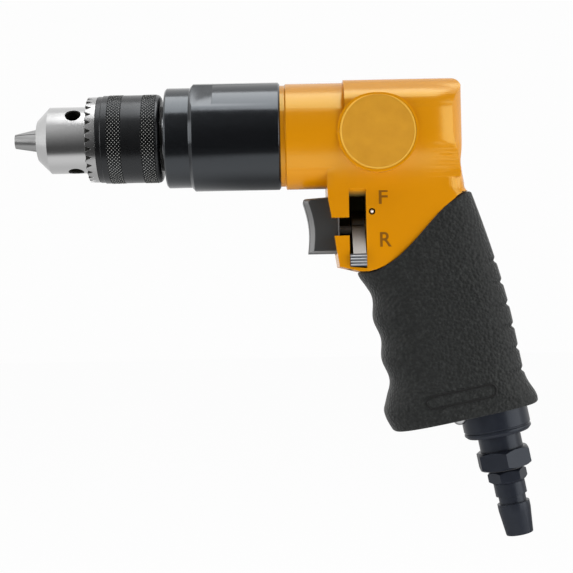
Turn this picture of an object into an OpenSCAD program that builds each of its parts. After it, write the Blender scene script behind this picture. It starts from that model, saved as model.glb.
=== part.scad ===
// Reversible pistol-grip air drill with a keyed three-jaw chuck, a planetary gear head
// and a vane motor. The spindle lies on X with the nose towards -X, and +Z is up.
// Zero is the centre of the chuck's mouth face. All lengths are millimetres.

/* [Chuck] */
// Radius of the chuck body
chuck_body_r = 13.7; // [13.5:0.1:14.5]
// Radius of the mouth face
chuck_mouth_r = 8.6; // [7:0.1:10]
// Length of the cone behind the mouth face
chuck_cone_l = 5.1; // [3:0.1:8]
// Length of the bare body from the mouth to the toothed ring
chuck_front_l = 20.9; // [20.5:0.1:24]
// Height of the toothed ring over the chuck body
gear_ring_over = 3.9; // [3.4:0.1:4.3]
// Width of the toothed ring
gear_ring_w = 4.3; // [3.8:0.1:4.6]
// Teeth on the toothed ring
gear_ring_teeth = 30; // [24:1:36]
// Height of the sleeve's smooth bands over the chuck body
sleeve_over = 4.4; // [4:0.1:5]
// Length of the sleeve
sleeve_l = 26.1; // [25.6:0.1:29]
// Radius of the key holes
key_hole_r = 3.25; // [2.5:0.05:3.5]
// Depth of the key holes
key_hole_depth = 5.4; // [4:0.1:6]
// Radius of a jaw's round shank
jaw_r = 3.4; // [3:0.1:3.6]
// Lean of the jaws from the spindle axis, degrees
jaw_lean = 13; // [12:0.5:14]
// How far the closed jaws stand out of the mouth
jaw_reach = 9.8; // [6:0.1:11]
// Radius of the smallest bit the jaws grip
bit_min_r = 0.75; // [0.5:0.05:1]
// Radius of the largest bit the jaws grip
bit_max_r = 5; // [4:0.1:5]

/* [Gear head] */
// Gap between the chuck and the gear housing
nose_gap = 1.3; // [1:0.1:3]
// Step from the housing's body down to its nose
nose_step = 1.55; // [0.6:0.05:2.2]
// Length of the housing's nose
nose_l = 10.1; // [6:0.1:14]
// Radius of the housing's body, which the casing's barrel continues
head_r = 22.15; // [20:0.05:25]
// Length of the housing's body
head_l = 36.9; // [36:0.1:42]
// Depth of the wrench flats
head_flat_depth = 1.3; // [0.8:0.05:1.8]
// Length of the wrench flats
head_flat_l = 8.3; // [6:0.1:12]
// Wall of the casing round the threaded spigot
thread_step = 1.95; // [1.6:0.05:2.4]
// Length of the threaded spigot
thread_l = 9; // [7:0.1:9.5]
// Wall of the threaded spigot round the gears and the motor
spigot_wall = 2; // [1.6:0.05:2.4]
// Wall of the ring gear outside its teeth
ring_wall = 1.7875; // [1.4:0.0125:2.4]
// Teeth on the sun pinion
sun_teeth = 12; // [12:6:12]
// Teeth on each planet gear
planet_teeth = 18; // [18:6:18]
// Face width of the planet gears
planet_w = 9.4; // [8:0.1:10]
// Radius of the planet pins
planet_pin_r = 2; // [1.6:0.1:2.2]
// Depth of the spindle bearing from its rim to its bore
bearing_depth = 8.5; // [8:0.1:9]
// Step in the housing's bore that the spindle bearing seats against
bearing_step = 2.2; // [1.6:0.1:3]
// Width of the spindle bearing
bearing_w = 9; // [8:0.1:9.5]

/* [Air motor] */
// Length of the motor cylinder
cylinder_l = 46; // [40:0.5:48]
// Wall of the motor cylinder, beside the rotor
cylinder_wall = 3.3; // [2.8:0.1:4]
// Room between the rotor and the cylinder's bore
rotor_room = 1.4; // [1.1:0.1:1.8]
// Thickness of the end plates
plate_w = 9.4; // [9.2:0.1:10]
// Number of vanes
vane_count = 5; // [4:1:6]
// Thickness of a vane
vane_w = 1.6; // [1.2:0.1:2]
// Outer radius of the rotor bearings
rotor_bearing_r = 9.5; // [9:0.1:10]
// Width of the rotor bearings
rotor_bearing_w = 6; // [5:0.1:6.4]

/* [Casing] */
// Wall behind the motor
rear_wall = 15.8; // [12:0.1:22]
// Distance from the casing's front to the raised rear block
step_l = 25.9; // [22:0.1:30]
// Rise of the rear block over the barrel
block_rise = 0.65; // [0.4:0.05:2]
// Half width of the flat on top of the rear block
block_flat_half = 7.1; // [5:0.1:10]
// Rounding of the rear end, seen from above
rear_round_r = 9; // [5:0.5:12]
// Half width of the neck
neck_half_w = 14.5; // [13.5:0.1:15.5]
// Distance from the casing's front to the neck's front edge
neck_front_l = 18.6; // [17:0.1:19]
// Fillet between the barrel and the neck
neck_fillet_r = 6; // [4:0.5:8]
// Radius of the round badge on the left side
badge_r = 15.3; // [12:0.1:16]
// Distance from the casing's front to the badge's centre
badge_l = 39; // [36:0.5:42]

/* [Trigger and valves] */
// Depth of the trigger axis below the barrel
trigger_below = 17.25; // [16.5:0.05:19]
// Half width of the trigger
trigger_half_w = 8; // [7:0.1:8.4]
// Height of the trigger
trigger_h = 23.4; // [20:0.1:24]
// Length of the trigger from its front to its rear edge
trigger_l = 15.8; // [14:0.1:16]
// Travel of the trigger
trigger_travel = 3.6; // [3:0.1:3.8]
// Width of the slot that the reverse lever swings in
lever_slot_w = 6.9; // [6.5:0.1:7.5]
// Half height of the reverse lever's swing at the casing's side
lever_swing_h = 16.1; // [15.8:0.1:17]
// Outer radius of the valve bushing
bushing_r = 8; // [7.8:0.1:8.2]
// Length of the valve bushing
bushing_l = 24; // [22:0.5:26]
// Outer radius of the reverse valve
reverse_valve_r = 5.6; // [5:0.1:5.8]
// Radius of the trigger rod
rod_r = 1.8; // [1.5:0.1:2]

/* [Grip] */
// Lean of the handle, degrees
handle_lean = 11; // [9:0.5:13]
// Distance from the casing's rear end back to the inlet axis at the grip's base
base_out = 10.7; // [9:0.1:13]
// Depth of the grip's base below the spindle axis, on the inlet axis
base_drop = 114.9; // [112:0.5:120]
// Distance from the inlet axis to the front of the grip
grip_front_d = 40.1; // [39:0.1:41]
// Distance from the inlet axis to the back of the grip
grip_rear_d = 15; // [14:0.1:16]
// Half width of the grip
grip_half_w = 16.8; // [16:0.1:18]
// Thickness of the grip's rubber
grip_wall = 3.2; // [2.6:0.1:3.6]
// Spacing of the finger grooves
finger_pitch = 17; // [15:0.5:19]
// Depth of the finger grooves
finger_depth = 1.5; // [0.8:0.1:2]
// Spacing of the notches down the back
notch_pitch = 9.2; // [8:0.1:9.6]
// Depth of the notches down the back
notch_depth = 1; // [0.5:0.1:1.4]

/* [Air inlet] */
// Step from the grip's back to the exhaust collar's side
collar_set_in = 1.15; // [0.8:0.05:2]
// Length of the exhaust collar below the grip
collar_l = 10.2; // [8:0.1:13]
// Radius of the inlet bushing's neck
inlet_neck_r = 8.85; // [8.6:0.05:9.4]
// Length of the inlet bushing's neck
inlet_neck_l = 6.4; // [4:0.1:8]
// Width across the flats of the inlet bushing
inlet_hex_w = 20.6; // [20:0.1:24]
// Length of the inlet bushing's hexagon
inlet_hex_l = 7.8; // [6:0.1:10]
// Width across the flats of the quick plug
plug_hex_w = 14.2; // [14:0.1:16]
// Length of the quick plug's hexagon
plug_hex_l = 4.9; // [4:0.1:7]
// Radius of the quick plug's nose
plug_nose_r = 6.7; // [6.55:0.05:7]
// Length of the quick plug's nose
plug_nose_l = 14.2; // [12:0.1:16]
// Radius of the air passage through the inlet
air_r = 4; // [3:0.1:4.4]

/* [Clearances] */
// Clearance of a fixed fit, each side
fit_gap = 0.02; // [0.01:0.01:0.04]
// Clearance of a running fit, each side
run_gap = 0.05; // [0.02:0.01:0.08]
// Free space beside a moving piece
free_gap = 0.3; // [0.25:0.05:0.5]
// Play between meshing teeth
backlash = 0.16; // [0.12:0.01:0.2]

/* [Hidden] */

// Curves are smooth at this count, and every through cut passes its wall by the overrun.
$fn = 64;
overrun = 1;

// Chuck: places along the axis and the sizes that its pieces share.
chuck_heel_l = 0.4;
gear_ring_r = chuck_body_r + gear_ring_over;
sleeve_r = chuck_body_r + sleeve_over;
sleeve_x = chuck_front_l + gear_ring_w;
sleeve_end_x = sleeve_x + sleeve_l;
chuck_end_x = sleeve_end_x + chuck_heel_l;
key_hole_web = 2.05;
key_hole_x = chuck_front_l - key_hole_r - key_hole_web;
key_hole_turn = 137;
jaw_turn = key_hole_turn + 60;
jaw_count = 3;
jaw_line_r = 1.61;
jaw_split_gap = free_gap / 2;
jaw_rise = tan(jaw_lean);
jaw_shell_r = jaw_line_r + jaw_r / cos(jaw_lean);
jaw_travel = (bit_max_r - bit_min_r) / sin(jaw_lean);
jaw_rear_gap = 0.5;
sleeve_lip_w = 1.4;
sleeve_lip_x = sleeve_end_x - sleeve_lip_w;
jaw_rear_x = sleeve_lip_x - jaw_rear_gap - jaw_travel * cos(jaw_lean);
sleeve_wall = 2.5;
sleeve_bore_r = sleeve_r - sleeve_wall;
jaw_trim_r = sleeve_bore_r - free_gap - (bit_max_r - bit_min_r) - fit_gap;
nut_w = 5.8;
nut_gap = 0.2;
nut_split_gap = 0.4;
nut_lead_w = 1.2;
nut_groove_x = sleeve_x + nut_lead_w;
nut_x = nut_groove_x + nut_gap;
nut_core_r = 9.6;
chuck_tail_step = 0.5;
chuck_tail_r = chuck_body_r - chuck_tail_step;
bit_bore_gap = 0.2;
bit_bore_r = bit_max_r + bit_bore_gap;
chuck_floor_w = 4.4;
spindle_thread_l = 13.8;
spindle_tip_x = chuck_end_x - spindle_thread_l;
bit_bore_l = spindle_tip_x - chuck_floor_w;
spindle_thread_r = 4.7;
chuck_screw_r = 2.4;
chuck_screw_head_r = 4;
chuck_screw_head_l = 2.6;
chuck_screw_l = 12;
screw_socket_share = 0.8;
sleeve_round_r = 2.4;
sleeve_front_groove_w = 2;
sleeve_front_groove_d = 0.35;
knurl_band_w = 5.8;
knurl_band_raise = 0.12;
knurl_first_l = 4.65;
knurl_second_l = 18.5;
tooth_depth_share = 0.6;
tooth_depth = gear_ring_w * tooth_depth_share;
tooth_floor_w = 0.25;
tooth_gap_share = 0.72;
gear_ring_gap = 0.4;
gear_ring_slant = 0.5;
gear_ring_face_w = 0.9;
gear_ring_edge = 0.4;

// Gear head: places along the axis.
nose_r = head_r - nose_step;
thread_r = head_r - thread_step;
stack_r = thread_r - spigot_wall;
bearing_r = stack_r - bearing_step;
journal_r = bearing_r - bearing_depth;
ring_teeth = sun_teeth + 2 * planet_teeth;
tooth_root_share = 1.25;
gear_module = (stack_r - ring_wall) / (ring_teeth / 2 + tooth_root_share);
head_x = chuck_end_x + nose_gap;
head_end_x = head_x + nose_l + head_l;
spigot_end_x = head_end_x + thread_l;
head_chamfer = 1.4;
nose_chamfer = 0.7;
head_flat_turn = 123;
head_flat_setback = 0.4;
seal_w = 2;
seal_lip_w = 1;
collar_step = 2.25;
spindle_collar_r = journal_r + collar_step;
seal_r = (bearing_r + spindle_collar_r) / 2;
bearing_x = head_x + seal_lip_w + seal_w;
bearing_end_x = bearing_x + bearing_w;
race_share = 0.306;
ball_share = 0.3;
bearing_race_w = (bearing_r - journal_r) * race_share;
ball_count = 9;
carrier_gap = 1.5;
carrier_x = bearing_end_x + carrier_gap;
carrier_front_w = 5.4;
carrier_rear_w = 4;
carrier_web_r = 2.2;
carrier_web_inset = 0.4;
shoulder_step = 1.7;
spindle_shoulder_r = journal_r + shoulder_step;
planet_x = carrier_x + carrier_front_w + free_gap;
planet_end_x = planet_x + planet_w;
carrier_end_x = planet_end_x + free_gap + carrier_rear_w;
planet_orbit_r = gear_module * (sun_teeth + planet_teeth) / 2;
ring_pitch_r = gear_module * ring_teeth / 2;
sun_tip_r = gear_module * (sun_teeth / 2 + 1);
carrier_r = ring_pitch_r - gear_module - free_gap - run_gap;
planet_turns = [90, 210, 330];
pressure_angle = 20;
ring_gear_lead = 1.8;
ring_gear_tail = 5.6;
stack_x = planet_x - ring_gear_lead;
ring_gear_l = ring_gear_lead + planet_w + ring_gear_tail;
stack_bore_r = stack_r + fit_gap;
spacer_l = 7.6;
spacer_wall = 4.2;
spacer_bore_r = stack_r - spacer_wall;

// Air motor: places along the axis.
front_plate_x = stack_x + ring_gear_l + spacer_l;
cylinder_x = front_plate_x + plate_w;
cylinder_end_x = cylinder_x + cylinder_l;
motor_end_x = cylinder_end_x + plate_w;
rotor_side_gap = 0.06;
rotor_seal_gap = 0.1;
cylinder_bore_r = stack_r - cylinder_wall;
rotor_r = cylinder_bore_r - rotor_room;
cylinder_offset = rotor_room - rotor_seal_gap;
vane_slot_d = 6.6;
vane_set_in = 0.05;
front_shaft_r = 4;
rear_shaft_r = 3;
rotor_race_w = 1.9;
plate_shaft_bore_r = 6.2;
plate_bearing_inset = 1.2;
dowel_r = 1.25;
dowel_inset = 2.2;
dowel_place_r = stack_r - dowel_inset;
port_r = 1.6;
port_pitch = 8;
port_count = 4;

// Casing.
casing_x = head_end_x;
casing_end_x = motor_end_x + rear_wall;
casing_l = casing_end_x - casing_x;
barrel_r = head_r;
block_half_w = barrel_r;
block_top = barrel_r + block_rise;
block_corner_r = barrel_r - block_flat_half;
casing_front_step = 1.3;
casing_front_r = barrel_r - casing_front_step;
casing_front_w = 1.8;
casing_front_chamfer = 0.6;
step_x = casing_x + step_l;
top_round_r = 4;
rear_shaft_room_r = 5;
rear_shaft_room_l = 5;
neck_x = casing_x + neck_front_l;
neck_rake = 4.4;
neck_top_z = -barrel_r;
neck_floor_l = 12.7;
neck_rear_round_r = 8;
badge_x = casing_x + badge_l;
badge_z = -1;
badge_rim_w = 1;
badge_set_in = 0.35;
badge_t = 0.8;
badge_boss_out = 0.5;
badge_boss_y = block_half_w + badge_boss_out;

// Grip boundary on the casing's side: it climbs from the lip in front to the crown behind.
grip_lip_x = neck_x + neck_floor_l;
neck_floor_fall = 1.7;
neck_floor_wall = 1.5;
grip_lip_z = -barrel_r - trigger_below - lever_swing_h - neck_floor_wall;
neck_drop = neck_top_z - grip_lip_z - neck_floor_fall;
grip_crown_l = 2.8;
grip_crown_x = casing_end_x + grip_crown_l;
grip_crown_z = -24.6;
grip_edge_steps = 14;
grip_edge_power = 1.15;

// Trigger and valves.
trigger_drop = barrel_r + trigger_below;
axis_z = -trigger_drop;
trigger_nose_r = 2.2;
trigger_dish = 1.4;
trigger_top_fall = 0.9;
trigger_corner_r = 1.2;
pocket_half_w = trigger_half_w + free_gap;
trigger_mid_up = 2;
trigger_mid_z = axis_z + trigger_mid_up;
trigger_rake = 1.9;
slot_setback = 8.6;
slot_x = neck_x + slot_setback;
slot_past = 2;
slot_ramp_d = 3;
slot_ramp_h = 3;
slot_top_fall = 2.8;
slot_end_x = slot_x + lever_slot_w;
window_half_h = 3.7;
window_up = 0.9;
lever_arm_shift = 0.5;
lever_arm_spare = 1.7;
lever_arm_w = lever_slot_w - lever_arm_spare;
lever_x = slot_x + (lever_slot_w - lever_arm_w) / 2 + lever_arm_shift;
lever_end_x = lever_x + lever_arm_w;
trigger_stop_gap = 0.45;
trigger_rear_x = lever_x - trigger_travel - trigger_stop_gap;
trigger_x = trigger_rear_x - trigger_l;
lever_hub_step = 0.2;
lever_hub_r = bushing_r - lever_hub_step;
lever_root_shares = [[-0.4, 0.7], [-0.5, -0.5]];
lever_bend_share = 0.1;
ridge_shares = [0, 0.5, 0.98];
lever_turn = 76;
lever_plate_t = 2;
lever_foot_h = 5.2;
lever_foot_t = 3.4;
lever_foot_out = 2.4;
lever_foot_side = 0.7;
lever_ridge_count = 3;
lever_ridge_d = 0.5;
bushing_x = slot_end_x + fit_gap;
bushing_end_x = bushing_x + bushing_l;
valve_bore_r = reverse_valve_r + run_gap;
reverse_bore_r = 3.4;
rod_gap = 0.3;
chamber_r = 6.5;
chamber_l = 15;
chamber_end_x = bushing_end_x + chamber_l;
seat_ring_w = 1.4;
throttle_r = 5.4;
throttle_l = 3;
throttle_x = bushing_end_x + seat_ring_w;
spring_r = 4.2;
spring_wire_r = 0.55;
spring_coils = 5;
spring_x = throttle_x + throttle_l;
valve_pin_r = 0.7;
valve_pin_mouth_r = 1.35;
valve_pin_mouth_d = 1.6;
valve_pin_sink = 1.2;
valve_pin_out = bushing_r - valve_pin_sink;
valve_pin_inset = 2.4;
valve_pin_set_in = 0.9;
valve_pin_x = bushing_x + valve_pin_inset;
port_a_l = 6;
port_b_l = 17;
port_a_x = bushing_x + port_a_l;
port_b_x = bushing_x + port_b_l;
casing_port_r = 2.2;
detent_r = 1.2;
detent_spring_l = 2.6;
detent_dip = 0.35;
detent_y = lever_hub_r + detent_r + run_gap;

// Handle: height runs up the handle from its base, and depth runs back from the inlet axis.
base_x = casing_end_x + base_out;
base_z = -base_drop;
core_base_h = 2.6;
core_side_spare = 2;
core_half_w = grip_half_w - grip_wall - core_side_spare;
core_corner_share = 0.78;
core_corner_r = core_half_w * core_corner_share;
core_top_h = (base_drop - barrel_r) / cos(handle_lean);
handle_h = (base_drop + grip_crown_z) / cos(handle_lean);
grip_sides = 36;
grip_power = 3.2;
grip_edge_r = 1;
base_bulge = 4.3;
base_bulge_h = 8;
base_bulge_w = 6;
base_bulge_low_w = 10;
heel_out = 3.4;
heel_h = 2;
heel_w = 6.5;
lip_out = 3;
lip_share = 0.63;
lip_h = handle_h * lip_share;
lip_w = 9;
rear_lean_h = 35;
rear_lean_share = 0.598;
rear_lean_l = handle_h * rear_lean_share;
rear_lean_d = 5.6;
rear_lean_power = 1.6;
groove_h = 21.3;
groove_low_h = 15;
groove_high_h = 60;
notch_first_h = 14.3;
notch_count = 6;
notch_w = 2.6;
recess_l = 28.5;
recess_h = 5;
recess_d = 0.4;
recess_up = 9.6;
recess_depth = -13.6;
notch_fade_shares = [0.2, 0.5];
top_narrowing = 1.2;
base_widening = 0.8;
grip_low_heights = [5, 8, 11];
grip_high_shares = [0.728, 0.78, 0.85, 0.925, 1, 1.09];
notch_low_h = notch_first_h - notch_w;
notch_high_h = notch_first_h + notch_pitch * notch_count - notch_w;
edge_ring_shares = [0, 0.3, 0.65, 1];
notch_ring_shares = [-1, 0, 1, 2.2, 3.8];

// Air inlet, measured down the inlet axis from the grip's base.
collar_r = grip_rear_d - collar_set_in;
inlet_thread_r = 7.6;
inlet_thread_l = 14;
inlet_thread_end_gap = 1;
inlet_bore_r = 5;
neck_start_l = collar_l;
hex_start_l = neck_start_l + inlet_neck_l;
plug_start_l = hex_start_l + inlet_hex_l;
plug_gap_l = 0.6;
plug_ring_start_l = plug_start_l + plug_gap_l + plug_hex_l;
plug_ring_r = 6.5;
plug_ring_l = 5.3;
plug_groove_r = 5.6;
plug_groove_l = 3;
plug_nose_start_l = plug_ring_start_l + plug_ring_l + plug_groove_l;
plug_tip_r = 5.6;
plug_land_l = 3;
plug_thread_r = 6;
plug_thread_l = 10;
hex_chamfer = 1.9;
inlet_hex_turn = -20;
hex_slope_share = 0.6;
collar_wall = 1.3;
collar_floor_w = 1.6;
collar_groove_d = 0.4;
collar_groove_w = 0.7;
collar_groove_up = 1;
collar_chamfer = 1.2;
collar_hole_r = 1.3;
collar_hole_count = 10;
exhaust_r = 2.4;
exhaust_depth = -10.2;
strainer_l = 8;
strainer_wall = 0.6;
seal_ring_r = 0.9;
muffler_l = 5;
base_screw_r = 2.5;
base_screw_shank_r = 1.2;
base_screw_l = 6;
base_screw_depth = -15.5;
base_screw_side = -10;
screw_dome_share = 0.2;

// A solid of revolution about the spindle axis, from [radius, x] points.
module turned(points) {
  rotate([0, 90, 0])
    rotate_extrude()
      polygon(points);
}

// A round bar along X.
module bar_x(x0, x1, r) {
  translate([x0, 0, 0])
    rotate([0, 90, 0])
      cylinder(h = x1 - x0, r = r);
}

// A flat ring or tube along X.
module tube_x(x0, x1, r_out, r_in) {
  difference() {
    bar_x(x0, x1, r_out);
    bar_x(x0 - overrun, x1 + overrun, r_in);
  }
}

// A section drawn in Y and Z, run along X.
module run_x(x0, x1) {
  translate([x0, 0, 0])
    rotate([90, 0, 90])
      linear_extrude(height = x1 - x0)
        children();
}

// An outline drawn in X and Z, run across Y by half_w each way.
module across(half_w) {
  rotate([90, 0, 0])
    linear_extrude(height = 2 * half_w, center = true)
      children();
}

// A box between two corners.
module block(low, high) {
  translate(low)
    cube(high - low);
}

// The handle's own frame: X is depth back from the inlet axis and Z is height over the base.
module in_handle() {
  translate([base_x, 0, base_z])
    rotate([0, -handle_lean, 0])
      children();
}

// A hexagonal bar down the inlet axis, its corners turned back at both ends.
module hex_bar(top, length, across_flats, turn) {
  corner_r = across_flats / 2 / cos(30);
  face_r = corner_r - hex_chamfer;
  translate([0, 0, -top - length])
    rotate(turn)
      intersection() {
        cylinder(h = length, r = corner_r, $fn = 6);
        rotate_extrude()
          polygon([
            [0, 0],
            [face_r, 0],
            [corner_r, hex_chamfer * hex_slope_share],
            [corner_r, length - hex_chamfer * hex_slope_share],
            [face_r, length],
            [0, length]
          ]);
      }
}

// Half angle of an involute tooth at a radius.
function involute(angle) = tan(angle) * 180 / PI - angle;
function tooth_half(teeth, radius, play) =
  let (pitch_r = gear_module * teeth / 2)
  let (base_r = pitch_r * cos(pressure_angle))
  let (at = acos(min(1, base_r / radius)))
  90 / teeth - play / pitch_r * 45 / PI + involute(pressure_angle) - involute(at);

// A toothed outline with a tooth on the first axis.
function gear_points(teeth, root_r, tip_r, play) =
  let (pitch_r = gear_module * teeth / 2)
  let (radii = [root_r, pitch_r, tip_r])
  [
    for (i = [0 : teeth - 1])
      for (side = [-1, 1])
        for (j = [0 : 2])
          let (r = radii[side < 0 ? j : 2 - j])
          let (a = 360 * i / teeth + side * tooth_half(teeth, r, play))
          [r * cos(a), r * sin(a)]
  ];

module gear_shape(teeth, play) {
  pitch_r = gear_module * teeth / 2;
  polygon(gear_points(teeth, pitch_r - tooth_root_share * gear_module, pitch_r + gear_module, play));
}

// The inside of the ring gear: the room that the planets' teeth sweep.
module ring_room_shape() {
  pitch_r = gear_module * ring_teeth / 2;
  rotate(180 / ring_teeth)
    polygon(gear_points(
      ring_teeth, pitch_r - gear_module, pitch_r + tooth_root_share * gear_module, -backlash
    ));
}

// The round shank that a jaw and its bore share.
module jaw_shank(radius) {
  reach = chuck_end_x + jaw_reach;
  translate([0, jaw_line_r, 0])
    rotate([0, 0, jaw_lean])
      bar_x(-reach, reach, radius);
}

module chuck_body() {
  color([0.78, 0.79, 0.8])
    difference() {
      turned([
        [bit_bore_r, 0],
        [chuck_mouth_r, 0],
        [chuck_body_r, chuck_cone_l],
        [chuck_body_r, nut_groove_x],
        [nut_core_r, nut_groove_x],
        [nut_core_r, nut_x + nut_w + nut_gap],
        [chuck_tail_r, nut_x + nut_w + nut_gap],
        [chuck_tail_r, chuck_end_x],
        [spindle_thread_r + fit_gap, chuck_end_x],
        [spindle_thread_r + fit_gap, spindle_tip_x],
        [chuck_screw_r + fit_gap, spindle_tip_x],
        [chuck_screw_r + fit_gap, bit_bore_l],
        [bit_bore_r, bit_bore_l]
      ]);
      for (i = [0 : jaw_count - 1])
        rotate([jaw_turn + 360 * i / jaw_count, 0, 0])
          intersection() {
            jaw_shank(jaw_r + run_gap);
            bar_x(-overrun, sleeve_lip_x - run_gap, sleeve_r);
          }
      for (i = [0 : jaw_count - 1])
        rotate([key_hole_turn + 360 * i / jaw_count, 0, 0])
          translate([key_hole_x, chuck_body_r - key_hole_depth, 0])
            rotate([-90, 0, 0])
              cylinder(h = key_hole_depth + overrun, r = key_hole_r);
    }
}

// One jaw at rest, closed. Its two flats meet its neighbours at 120 degrees.
module chuck_jaw(number) {
  apex = jaw_split_gap / sin(60);
  color([0.72, 0.73, 0.75])
    rotate([jaw_turn + 360 * number / jaw_count, 0, 0])
      difference() {
        intersection() {
          jaw_shank(jaw_r);
          bar_x(-jaw_reach, jaw_rear_x, jaw_trim_r);
          run_x(-jaw_reach, jaw_rear_x)
            polygon([
              [apex, 0],
              [apex + jaw_trim_r, jaw_trim_r * tan(60)],
              [apex + jaw_trim_r, -jaw_trim_r * tan(60)]
            ]);
        }
        bar_x(-jaw_reach - overrun, jaw_rear_x + overrun, bit_min_r);
      }
}

// The threaded nut that drives the jaws, split so that it drops into the body's groove.
module chuck_nut() {
  color([0.45, 0.45, 0.47])
    difference() {
      turned([
        [jaw_shell_r + free_gap + nut_x * jaw_rise, nut_x],
        [sleeve_bore_r - fit_gap, nut_x],
        [sleeve_bore_r - fit_gap, nut_x + nut_w],
        [jaw_shell_r + free_gap + (nut_x + nut_w) * jaw_rise, nut_x + nut_w]
      ]);
      block(
        [nut_x - overrun, -sleeve_r, -nut_split_gap / 2],
        [nut_x + nut_w + overrun, sleeve_r, nut_split_gap / 2]
      );
    }
}

// The toothed ring that the key's pinion meshes with. Its teeth face the nose.
module chuck_gear_ring() {
  ring_bore_r = chuck_body_r + gear_ring_gap;
  gap_half_w = PI * gear_ring_r / gear_ring_teeth * tooth_gap_share;
  gap_flare = gap_half_w * (1 + overrun / tooth_depth);
  color([0.8, 0.8, 0.8])
    difference() {
      turned([
        [ring_bore_r, chuck_front_l + gear_ring_slant],
        [gear_ring_r - gear_ring_face_w, chuck_front_l],
        [gear_ring_r, chuck_front_l + gear_ring_edge],
        [gear_ring_r, sleeve_x],
        [ring_bore_r, sleeve_x]
      ]);
      for (i = [0 : gear_ring_teeth - 1])
        rotate([360 * i / gear_ring_teeth, 0, 0])
          translate([0, 0, ring_bore_r - overrun])
            linear_extrude(height = gear_ring_r - ring_bore_r + 2 * overrun)
              polygon([
                [chuck_front_l - overrun, -gap_flare],
                [chuck_front_l + tooth_depth, -tooth_floor_w / 2],
                [chuck_front_l + tooth_depth, tooth_floor_w / 2],
                [chuck_front_l - overrun, gap_flare]
              ]);
    }
}

module chuck_sleeve() {
  front_r = chuck_body_r + run_gap;
  tail_r = chuck_tail_r + run_gap;
  groove_r = sleeve_r - sleeve_front_groove_d;
  color([0.13, 0.13, 0.14])
    difference() {
      union() {
        turned([
          [front_r, sleeve_x],
          [groove_r, sleeve_x],
          [groove_r, sleeve_x + sleeve_front_groove_w],
          [sleeve_r, sleeve_x + sleeve_front_groove_w + sleeve_front_groove_d],
          [sleeve_r, sleeve_end_x - sleeve_round_r],
          for (a = [15 : 15 : 75]) [
            sleeve_r - sleeve_round_r * (1 - cos(a)),
            sleeve_end_x - sleeve_round_r * (1 - sin(a))
          ],
          [sleeve_r - sleeve_round_r, sleeve_end_x],
          [tail_r, sleeve_end_x],
          [tail_r, sleeve_lip_x],
          [sleeve_bore_r, sleeve_lip_x],
          [sleeve_bore_r, nut_groove_x],
          [front_r, nut_groove_x]
        ]);
        for (start = [knurl_first_l, knurl_second_l])
          tube_x(
            sleeve_x + start, sleeve_x + start + knurl_band_w,
            sleeve_r + knurl_band_raise, sleeve_r - sleeve_wall / 2
          );
      }
    }
}

// The screw inside the chuck that locks it to the spindle.
module chuck_screw() {
  color([0.35, 0.35, 0.36])
    difference() {
      union() {
        bar_x(bit_bore_l - chuck_screw_head_l, bit_bore_l, chuck_screw_head_r);
        bar_x(bit_bore_l, spindle_tip_x + chuck_screw_l, chuck_screw_r);
      }
      bar_x(
        bit_bore_l - chuck_screw_head_l - overrun, bit_bore_l - chuck_screw_head_l / 3,
        chuck_screw_r * screw_socket_share, $fn = 6
      );
    }
}

module gear_housing() {
  wrench_x = head_x + nose_l - head_flat_setback;
  bore_r = stack_bore_r;
  color([0.09, 0.1, 0.13])
    difference() {
      turned([
        [spindle_collar_r + free_gap, head_x],
        [nose_r - nose_chamfer, head_x],
        [nose_r, head_x + nose_chamfer],
        [nose_r, head_x + nose_l],
        [head_r, head_x + nose_l + head_chamfer],
        [head_r, head_end_x - head_chamfer / 2],
        [head_r - head_chamfer / 2, head_end_x],
        [thread_r, head_end_x],
        [thread_r, spigot_end_x],
        [bore_r, spigot_end_x],
        [bore_r, stack_x],
        [bearing_r + fit_gap, stack_x],
        [bearing_r + fit_gap, bearing_x],
        [seal_r + fit_gap, bearing_x],
        [seal_r + fit_gap, head_x + seal_lip_w],
        [spindle_collar_r + free_gap, head_x + seal_lip_w]
      ]);
      for (turn = [head_flat_turn, head_flat_turn + 180])
        rotate([turn, 0, 0])
          block(
            [wrench_x, head_r - head_flat_depth, -head_r],
            [wrench_x + head_flat_l, head_r + overrun, head_r]
          );
    }
}

// The spindle and the planet carrier are one forging.
module spindle() {
  journal_end_x = bearing_end_x + carrier_gap / 2;
  web_place_r = carrier_r - carrier_web_r - carrier_web_inset;
  color([0.7, 0.71, 0.73])
    difference() {
      union() {
        turned([
          [chuck_screw_r + fit_gap, spindle_tip_x],
          [spindle_thread_r, spindle_tip_x],
          [spindle_thread_r, chuck_end_x],
          [spindle_collar_r, chuck_end_x],
          [spindle_collar_r, bearing_x],
          [journal_r, bearing_x],
          [journal_r, journal_end_x],
          [spindle_shoulder_r, journal_end_x],
          [spindle_shoulder_r, carrier_x],
          [carrier_r, carrier_x],
          [carrier_r, carrier_x + carrier_front_w],
          [0, carrier_x + carrier_front_w],
          [0, spindle_tip_x + chuck_screw_l],
          [chuck_screw_r + fit_gap, spindle_tip_x + chuck_screw_l]
        ]);
        tube_x(
          planet_end_x + free_gap, carrier_end_x, carrier_r, sun_tip_r + 2 * free_gap
        );
        for (turn = planet_turns)
          rotate([turn + 60, 0, 0])
            translate([0, web_place_r, 0])
              bar_x(carrier_x + carrier_front_w / 2, carrier_end_x, carrier_web_r);
      }
      for (turn = planet_turns)
        rotate([turn, 0, 0])
          translate([0, planet_orbit_r, 0])
            bar_x(carrier_x - overrun, carrier_end_x + overrun, planet_pin_r + fit_gap);
    }
}

module planet_pins() {
  color([0.6, 0.6, 0.62])
    for (turn = planet_turns)
      rotate([turn, 0, 0])
        translate([0, planet_orbit_r, 0])
          bar_x(carrier_x + fit_gap, carrier_end_x - fit_gap, planet_pin_r);
}

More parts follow.
